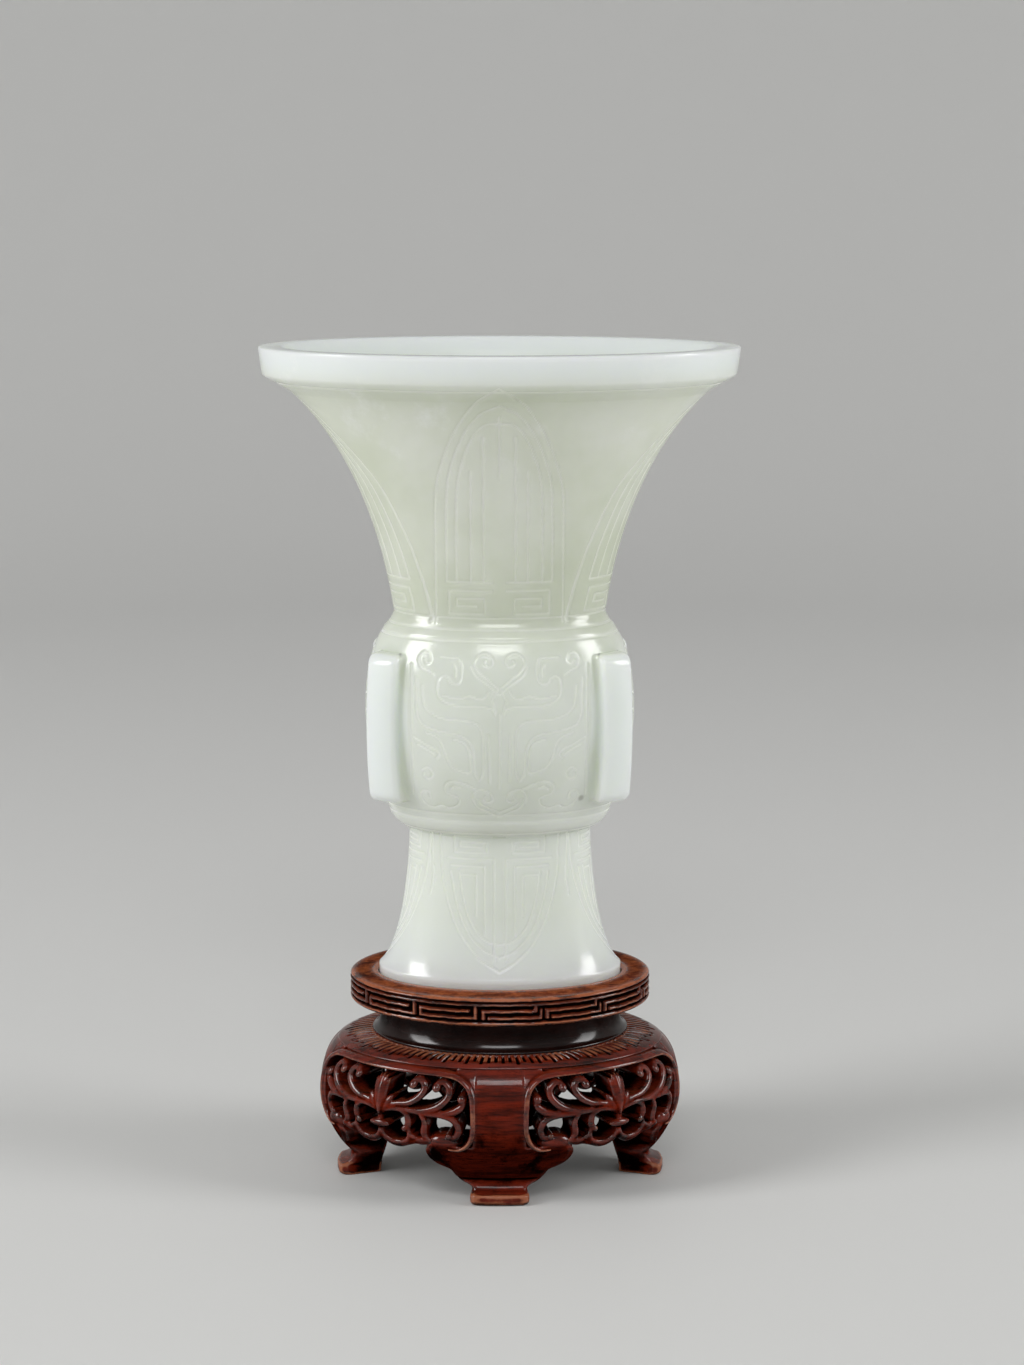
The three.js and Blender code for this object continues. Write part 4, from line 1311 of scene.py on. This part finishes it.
DRUM_SAMPLES = 8001
DRUM_TURNS = np.linspace(-2 * math.pi, 2 * math.pi, DRUM_SAMPLES)
DRUM_PACE = np.hypot(GIRTH[0] / 2 * np.cos(DRUM_TURNS), GIRTH[1] / 2 * np.sin(DRUM_TURNS))
DRUM_WALKED = np.concatenate([[0], np.cumsum((DRUM_PACE[1:] + DRUM_PACE[:-1]) / 2 * np.diff(DRUM_TURNS))])


def drum_path():
    """The drum's outside from the table up to the shoulder."""
    toe = oval(*TOE)
    head = oval_of(SHOULDER_LOW, SHOULDER_HIGH, SHOULDER_BASE)
    toe_edge = EDGE_MIDDLE * TOE_ROUND
    return joined(
        inset(toe, TOE_ROUND, 0.0),
        inset(toe, toe_edge, toe_edge),
        inset(toe, 0, TOE_ROUND),
        sweep(toe, oval(*ANKLE), TOE_BENDS),
        sweep(oval(*ANKLE), oval(*GIRTH), ANKLE_BENDS),
        sweep(oval(*GIRTH), head, GIRTH_BENDS),
    )


DRUM = drum_path()
RECESS_SHADE = 0.3
RECESS_TOP = -1.5
RECESS_FLOOR = -5.0
WEAR_FADE = 0.8
PLAIN_WEAR, RAISED_WEAR = 0.8, 0.6
RAISED_FROM, RAISED_FULL = 0.1, 0.5
# Toes lightened by use and by a painted highlight on their lips
TOE_WEAR_AND_HIGHLIGHT = 1.5
TOE_RUB_AND_HIGHLIGHT = 0.28
TOE_FADE = 2.0
DOME_SHARE = 0.8
DOME_END = 1.45
DOME_RINGS = 7
BOSS_POINTS = 28
RIBBON_POINTS = 9
SKIN_ROUNDS = 1


def on_drum(turn, along, height, lift):
    """Places given along the drum from a turn, by height and by how far they stand off its face."""
    along, height, lift = np.broadcast_arrays(along, height, lift)
    start = np.interp(turn, DRUM_TURNS, DRUM_WALKED)
    reached = np.interp(start + along, DRUM_WALKED, DRUM_TURNS)
    half_width = np.interp(height, DRUM[:, 2], DRUM[:, 0])
    half_depth = np.interp(height, DRUM[:, 2], DRUM[:, 1])
    sine, cosine = np.sin(reached), np.cos(reached)
    out_x, out_y = sine / half_width, -cosine / half_depth
    size = np.hypot(out_x, out_y)
    x = half_width * sine + lift * out_x / size
    y = -half_depth * cosine + lift * out_y / size
    return np.stack([x, y, height], -1)


class Body:
    """Closed bodies on the drum, gathered before they get one skin."""

    def __init__(self, turn):
        self.turn = turn
        self.points = []
        self.faces = []

    def rings(self, along, height, lift):
        """A closed body from rings of points, one ring to a row, with flat ends."""
        placed = on_drum(self.turn, along, height, lift)
        rows, count = placed.shape[:2]
        first = len(self.points)
        self.points += placed.reshape(-1, 3).tolist()
        self.faces += [[first + i for i in face] for face in grid_faces(rows, count)]
        self.faces.append([first + i for i in reversed(range(count))])
        self.faces.append([first + (rows - 1) * count + i for i in range(count)])

    def ribbon(self, line, widths, front, back, crown=0.5):
        """A scroll or bead along a line of (along, height), rounded on its face."""
        line = smooth_line(line)
        widths = np.interp(np.linspace(0, 1, len(line)), np.linspace(0, 1, len(widths)), widths)
        step = np.gradient(line, axis=0)
        step /= np.linalg.norm(step, axis=1, keepdims=True)
        across = np.stack([-step[:, 1], step[:, 0]], 1) * widths[:, None] / 2
        arch = np.linspace(0, math.pi, RIBBON_POINTS)
        offset = np.concatenate([np.cos(arch), [-1.0, 1.0]])
        face = front - crown * widths[:, None] / 2 * (1 - np.sin(arch))
        lift = np.concatenate([face, np.full((len(line), 2), back)], 1)
        along = line[:, :1] + across[:, :1] * offset
        height = line[:, 1:] + across[:, 1:] * offset
        self.rings(along, height, lift)

    def boss(self, centre, half_along, half_height, front, back, tilt=0.0, pointed=0.0):
        """A rounded knob, petal or lobe about a centre, domed on its face."""
        around = np.linspace(0, 2 * math.pi, BOSS_POINTS, endpoint=False)
        shape = np.stack([half_along * np.sin(around), half_height * np.cos(around)], 1)
        shape[:, 0] *= 1 - pointed * (np.abs(np.cos(around)) ** 3)
        leaning = np.array([[math.cos(tilt), -math.sin(tilt)], [math.sin(tilt), math.cos(tilt)]])
        shape = shape @ leaning.T
        depth = DOME_SHARE * min(half_along, half_height)
        rising = np.linspace(0, DOME_END, DOME_RINGS)
        dome = [(1.0, back)] + [(math.cos(a), front - depth * (1 - math.sin(a))) for a in rising]
        scale = np.array([s for s, _ in dome])[:, None]
        lift = np.broadcast_to(np.array([h for _, h in dome])[:, None], (len(dome), BOSS_POINTS))
        self.rings(centre[0] - shape[None, :, 0] * scale, centre[1] + shape[None, :, 1] * scale, lift)

    def skin(self, name, voxel, worn_to):
        """One mesh of all the bodies, with edges lightened by use and by a painted highlight marked up to a
        height, and painted shade in the recesses.
        """
        points, faces = remeshed(self.points, self.faces, voxel, SKIN_ROUNDS)
        points[:, 2] = np.maximum(points[:, 2], 0.0)
        mesh = make_mesh(name, points, faces)
        toes = smoothstep(TOE[2] + TOE_FADE, TOE[2], points[:, 2])
        width, depth = (np.interp(points[:, 2], DRUM[:, 2], DRUM[:, i]) for i in (0, 1))
        proud = (np.hypot(points[:, 0] / width, points[:, 1] / depth) - 1) * np.minimum(width, depth)
        raised_work = PLAIN_WEAR + RAISED_WEAR * smoothstep(RAISED_FROM, RAISED_FULL, proud)
        # recess: painted shade, darker the deeper a point lies behind the drum's face
        recess = RECESS_SHADE * smoothstep(RECESS_TOP, RECESS_FLOOR, proud)
        below = smoothstep(worn_to, worn_to - WEAR_FADE, points[:, 2])
        # Toes: lightened by use and by a painted highlight
        kept = below * raised_work + TOE_WEAR_AND_HIGHLIGHT * toes
        mark_wear_and_shade(mesh, scale=0.35, rounds=12, kept=kept, shade=recess, rub=TOE_RUB_AND_HIGHLIGHT * toes)
        return mesh


# Half of a leg's outline: along from its middle, and height
LEG_SIDE = [(9.3, 0.0), (9.3, 2.5), (9.0, 3.3), (9.2, 4.2), (10.6, 5.1), (13.2, 6.0), (14.6, 7.2),
            (15.0, 8.8), (15.6, 10.2), (17.6, 11.2), (19.8, 12.4), (21.4, 14.2), (21.9, 16.0), (21.4, 17.4),
            (20.2, 18.4)]
LEG_ANKLE_HALF, LEG_CUSP_HALF, LEG_WING_HALF = 8.0, 15.1, 22.0
FRONT_LEG = (LEG_CUSP_HALF, LEG_WING_HALF)
SIDE_LEG = (9.6, 17.0)
LEGS = {
    "leg_front": (0.0, FRONT_LEG),
    "leg_right": (math.pi / 2, SIDE_LEG),
    "leg_back": (math.pi, FRONT_LEG),
    "leg_left": (-math.pi / 2, SIDE_LEG),
}
LEG_POST = 7.6
LEG_POST_TOP = 18.45
LOBE_PLACE = (16.2, 18.4)
LOBE_SIZE = (5.4, 3.4)
LEG_WALL = 8.0
LEG_HEEL = [(34.3, 0.0), (34.3, 2.5), (33.4, 6.5), (31.9, 11.5), (32.0, 15.5), (36.4, 20.5), (42.9, 26.0)]
LEG_COLUMNS = 25
LEG_EDGE = 0.8
PAD_EDGE = 2.0
POST_EDGE = 0.25
POST_TUCK = 0.6
POST_ROWS = 24
TUCK_FADE = 0.3
LOBE_LIFT = 0.35
EDGE_LEVELS = (TOE[2], ANKLE[2], LEG_POST_TOP - 1.0, LEG_POST_TOP)
EDGE_ROUNDINGS = (PAD_EDGE, LEG_EDGE, LEG_EDGE, POST_EDGE)


def leg_wall(height):
    """How thick a leg is at each height, from the drum's face to its smooth heel."""
    heel = smooth_line(LEG_HEEL)
    face = np.interp(height, DRUM[:, 2], DRUM[:, 0])
    return np.where(height > GIRTH[2], LEG_WALL, face - np.interp(height, heel[:, 1], heel[:, 0]))


class GUVASE_OT_shape_legs(bpy.types.Operator):
    """Shapes the four legs: posts, lobed wings, ankles and block feet"""

    bl_idname = "gu_vase.shape_legs"
    bl_label = "Shape the legs"

    def execute(self, context):
        sizes = context.scene.gu_vase.stand
        material = scroll_wood(context.scene.gu_vase.finishes)
        line = smooth_line(LEG_SIDE)
        post = np.linspace(LEG_POST_TOP, SHOULDER_BASE + POST_TUCK, POST_ROWS)
        height = np.concatenate([line[:, 1], post])
        spread = np.linspace(-1, 1, LEG_COLUMNS)
        front = np.concatenate([spread, spread[::-1]])
        rounding = np.interp(height, EDGE_LEVELS, EDGE_ROUNDINGS)[:, None]
        above = smoothstep(SHOULDER_BASE - TUCK_FADE, SHOULDER_BASE + TUCK_FADE, height)
        tucked = POST_TUCK * above[:, None]
        for node, (turn, (cusp, wing)) in LEGS.items():
            body = Body(turn)
            widths = (0, LEG_ANKLE_HALF, LEG_CUSP_HALF, LEG_WING_HALF)
            half = np.interp(line[:, 0], widths, (0, LEG_ANKLE_HALF, cusp, wing))
            half = np.concatenate([half, np.full(len(post), LEG_POST)])[:, None]
            edge = np.clip((np.abs(spread) * half - (half - rounding)) / rounding, 0, 1)
            outside = -rounding * (1 - np.sqrt(1 - edge**2)) - tucked
            inside = np.broadcast_to(-leg_wall(height)[:, None], outside.shape)
            body.rings(half * front, height[:, None], np.concatenate([outside, inside], 1))
            share = wing / LEG_WING_HALF
            for side in (1, -1):
                centre = (side * LOBE_PLACE[0] * share, LOBE_PLACE[1])
                body.boss(centre, LOBE_SIZE[0] * share, LOBE_SIZE[1], LOBE_LIFT, -LEG_WALL)
            mesh = body.skin(node + "_carved", sizes.skin / MM, LEG_POST_TOP)
            place(mesh, node, "stand", material)
        return {"FINISHED"}


# Scrolls of a pierced panel, right half: along from the bud, and height
SCROLL_TAPER = (0.65, 0.7, 1.0, 1.0, 0.7)
SCROLL_LIFT = -0.35
SCROLL_CROWN = 0.7
TENDRILS = (
    [(1.0, 26.2), (4.6, 27.0), (9.0, 27.0), (13.0, 27.2), (17.0, 28.4), (20.0, 31.0), (20.6, 33.6),
     (18.8, 35.4), (16.6, 34.9)],
    [(1.0, 26.8), (4.6, 28.4), (8.4, 29.0), (11.6, 30.8), (13.2, 33.4), (12.0, 35.4), (9.4, 35.3)],
    [(11.0, 26.9), (15.6, 26.6), (20.4, 27.0), (23.8, 28.6), (25.0, 30.4)],
    [(14.0, 26.6), (18.6, 26.4), (22.0, 25.4), (23.6, 23.2), (22.6, 21.0), (20.4, 20.4)],
    [(6.4, 27.0), (8.3, 25.8), (8.9, 23.8), (8.0, 22.0)],
    [(8.4, 22.6), (9.2, 20.8), (8.4, 18.8), (7.4, 17.8)],
    [(0.0, 25.6), (0.0, 23.0), (0.0, 19.6)],
    [(12.6, 26.6), (13.8, 24.2), (13.4, 21.6), (14.4, 19.8)],
)
CURL_ENDS = (
    (16.7, 33.9, 1.3), (9.6, 34.2, 1.3), (24.4, 31.2, 1.35), (20.6, 21.3, 1.0), (7.7, 22.3, 0.95),
    (10.2, 20.2, 0.9),
)
LOWER_LOBE = [(0.0, 20.9), (1.1, 19.0), (3.6, 17.7), (6.4, 17.8), (8.6, 19.1), (9.3, 21.2)]
LOWER_EDGE = [(7.6, 18.3), (10.6, 19.2), (13.0, 19.1), (15.6, 19.6)]
PANEL_RISE = 0.8
RISE_FROM, RISE_FULL = 21.0, 26.0
CORNER = [(28.2, 31.0), (27.8, 35.2), (26.0, 37.6), (22.0, 38.9)]
CORNER_POST = [(26.9, 35.0), (26.9, 37.0), (26.9, 39.2)]
CORNER_RAIL = [(22.0, 38.8), (25.0, 38.8), (28.0, 38.8)]
TOP_RAIL = [(0.0, 39.1), (9.0, 39.1), (18.0, 39.1), (27.5, 38.8)]
FRAME_LINE = [(20.4, 17.6), (23.6, 17.6), (26.2, 19.4), (27.6, 23.0), (27.7, 29.0), (26.9, 34.0),
              (24.2, 37.0), (19.6, 38.3), (9.0, 38.6), (0.0, 38.6)]
BEAD_TAPER = (0.3, 0.9, 1.0, 1.0, 1.0)
BEAD_LIFT = 0.7
BEAD_CROWN = 0.85

# Plain parts of a panel: line, widths along it, how far its face stands off the drum, and its crown
PANEL_PARTS = (
    (LOWER_LOBE, (1.7, 2.0, 2.2, 2.0, 1.5), 0.0, 0.5),
    (LOWER_EDGE, (2.2, 2.2, 1.8), -0.2, 0.5),
    (CORNER, (2.2, 2.8, 2.2), -0.15, 0.2),
    (CORNER_POST, (2.4, 2.4), -0.15, 0.0),
    (CORNER_RAIL, (1.6, 1.6), -0.15, 0.0),
    (TOP_RAIL, (1.2, 1.2), -0.7, 0.2),
)

# Lotus bud: tilt, half width, half height and lift of each petal
BUD_FOOT = 25.6
BUD_POINT = 0.25
BUD_PETALS = (
    (0.0, 0.8, 5.7, 0.65),
    (0.1, 0.75, 5.6, 0.5),
    (-0.1, 0.75, 5.6, 0.5),
    (0.21, 0.8, 5.2, 0.2),
    (-0.21, 0.8, 5.2, 0.2),
    (0.56, 1.25, 3.5, -0.1),
    (-0.56, 1.25, 3.5, -0.1),
)
BUD_BAR = (3.3, 23.2, 1.05)
BUD_BAR_LIFT = 0.55


def raised(line):
    """The upper scrolls moved up a little, with the lower ones left in place."""
    rise = PANEL_RISE * smoothstep(RISE_FROM, RISE_FULL, line[:, 1])
    return line + np.stack([np.zeros(len(line)), rise], 1)


class GUVASE_OT_pierce_panels(bpy.types.Operator):
    """Carves the four pierced panels: beaded frame, scrolling stems and a lotus bud"""

    bl_idname = "gu_vase.pierce_panels"
    bl_label = "Pierce the panels"

    def execute(self, context):
        sizes = context.scene.gu_vase.stand
        material = scroll_wood(context.scene.gu_vase.finishes)
        back = -sizes.panel_depth / MM
        scroll_widths = np.array(SCROLL_TAPER) * sizes.tendril_width / MM
        bead_widths = np.array(BEAD_TAPER) * sizes.bead_width / MM
        for node, turn in APRON_TURNS.items():
            body = Body(turn)
            for side in (1, -1):
                mirror = np.array([side, 1.0])
                for line in TENDRILS:
                    scroll = raised(np.array(line)) * mirror
                    body.ribbon(scroll, scroll_widths, SCROLL_LIFT, back, SCROLL_CROWN)
                for along, height, radius in CURL_ENDS:
                    knob = raised(np.array([(along, height)])) * mirror
                    body.boss(knob[0], radius, radius, 0.0, back)
                for line, widths, lift, crown in PANEL_PARTS:
                    body.ribbon(np.array(line) * mirror, widths, lift, back, crown)
                body.ribbon(np.array(FRAME_LINE) * mirror, bead_widths, BEAD_LIFT, back, BEAD_CROWN)
            for tilt, half, reach, lift in BUD_PETALS:
                centre = (math.sin(tilt) * reach, BUD_FOOT + math.cos(tilt) * reach)
                body.boss(centre, half, reach, lift, back, tilt, BUD_POINT)
            body.boss((0.0, BUD_BAR[1]), BUD_BAR[0], BUD_BAR[2], BUD_BAR_LIFT, back)
            mesh = body.skin(node + "_carved", sizes.skin / MM, SHOULDER_BASE)
            place(mesh, node, "stand", material)
        return {"FINISHED"}


# Stage

CAMERA_PLACE = (0.0034, -0.7825, 0.2909)
CAMERA_PITCH = math.radians(10.815)
SENSOR_WIDTH = 36.0
FLOOR_REACH = 1.0
FLOOR_ROUGHNESS = 0.6
BACKDROP_REACH = 2.1
BACKDROP_HEIGHT = 1.7
BACKDROP_COLUMNS = 96
BACKDROP_RINGS = 16

# Soft boxes: place, width and height, all facing the middle of the vase
LAMP_TARGET = (0.0, 0.0, 0.12)
LAMPS = {
    "key": ((-1.45, -0.6, 1.0), 0.6, 0.9),
    "fill": ((1.5, -0.35, 0.85), 0.55, 0.9),
    "top": ((0.0, -1.1, 1.15), 0.6, 0.3),
}


def backdrop_points():
    """Rings of a flat floor that turns up all round into a backdrop, in metres."""
    bend = np.linspace(0, math.pi / 2, BACKDROP_RINGS)
    reach = FLOOR_REACH + (BACKDROP_REACH - FLOOR_REACH) * np.sin(bend)
    height = BACKDROP_HEIGHT * (1 - np.cos(bend))
    path = np.stack([reach, reach, height], 1)
    return turned(path, np.arange(BACKDROP_COLUMNS) / BACKDROP_COLUMNS * 2 * math.pi)


def soft_box(name, place_at, width, height, power):
    """A plain rectangular soft box that faces the vase."""
    lamp = bpy.data.lights.new(name, "AREA")
    lamp.shape = "RECTANGLE"
    lamp.size = width
    lamp.size_y = height
    lamp.energy = power
    holder = bpy.data.objects.new(name, lamp)
    holder.location = place_at
    facing = Vector(LAMP_TARGET) - Vector(place_at)
    holder.rotation_euler = facing.to_track_quat("-Z", "Y").to_euler()
    bpy.context.scene.collection.objects.link(holder)


class GUVASE_OT_set_stage(bpy.types.Operator):
    """Sets the camera, the pale floor and the soft boxes"""

    bl_idname = "gu_vase.set_stage"
    bl_label = "Set the stage"

    def execute(self, context):
        stage = context.scene.gu_vase.stage
        lens = bpy.data.cameras.new("camera")
        lens.lens = stage.lens
        lens.sensor_width = SENSOR_WIDTH
        camera = bpy.data.objects.new("camera", lens)
        camera.location = CAMERA_PLACE
        camera.rotation_euler = (math.pi / 2 - CAMERA_PITCH, 0.0, 0.0)
        context.scene.collection.objects.link(camera)
        context.scene.camera = camera
        rings = backdrop_points()
        faces = [face[::-1] for face in grid_faces(len(rings), BACKDROP_COLUMNS)]
        mesh = make_mesh("floor", rings / MM, faces + [list(range(BACKDROP_COLUMNS))])
        floor = bpy.data.objects.new("floor", mesh)
        context.scene.collection.objects.link(floor)
        material, shader, _ = new_material("pale_floor")
        set_plain(shader, {"Base Color": stage.floor_colour, "Roughness": FLOOR_ROUGHNESS})
        mesh.materials.append(material)
        world = bpy.data.worlds.new("room")
        world.use_nodes = True
        context.scene.world = world
        sky = world.node_tree.nodes["Background"]
        sky.inputs["Color"].default_value = stage.floor_colour
        sky.inputs["Strength"].default_value = stage.room_light
        for name, (place_at, width, height) in LAMPS.items():
            soft_box(name, place_at, width, height, getattr(stage, name + "_power"))
        context.scene.view_settings.view_transform = "Standard"
        return {"FINISHED"}


STEPS = (
    GUVASE_OT_carve_vase,
    GUVASE_OT_cut_rim,
    GUVASE_OT_turn_waist,
    GUVASE_OT_notch_shoulder,
    GUVASE_OT_shape_legs,
    GUVASE_OT_pierce_panels,
    GUVASE_OT_set_stage,
)


class GUVASE_PT_panel(bpy.types.Panel):
    """Lists the steps and settings of the vase and its stand"""

    bl_idname = "GUVASE_PT_panel"
    bl_label = "Gu vase"
    bl_space_type = "VIEW_3D"
    bl_region_type = "UI"
    bl_category = "Gu vase"

    def draw(self, context):
        settings = context.scene.gu_vase
        for step in STEPS:
            self.layout.operator(step.bl_idname)
        for group in (settings.vase, settings.stand, settings.finishes, settings.stage):
            box = self.layout.box()
            for name in group.__annotations__:
                box.prop(group, name)


CLASSES = (VaseSizes, StandSizes, Finishes, StageSettings, GuVaseSettings, *STEPS, GUVASE_PT_panel)


def register():
    for item in CLASSES:
        bpy.utils.register_class(item)
    bpy.types.Scene.gu_vase = PointerProperty(type=GuVaseSettings)


def unregister():
    del bpy.types.Scene.gu_vase
    for item in reversed(CLASSES):
        bpy.utils.unregister_class(item)


def main():
    register()
    for step in STEPS:
        group, name = step.bl_idname.split(".")
        getattr(getattr(bpy.ops, group), name)()


if __name__ == "__main__":
    main()
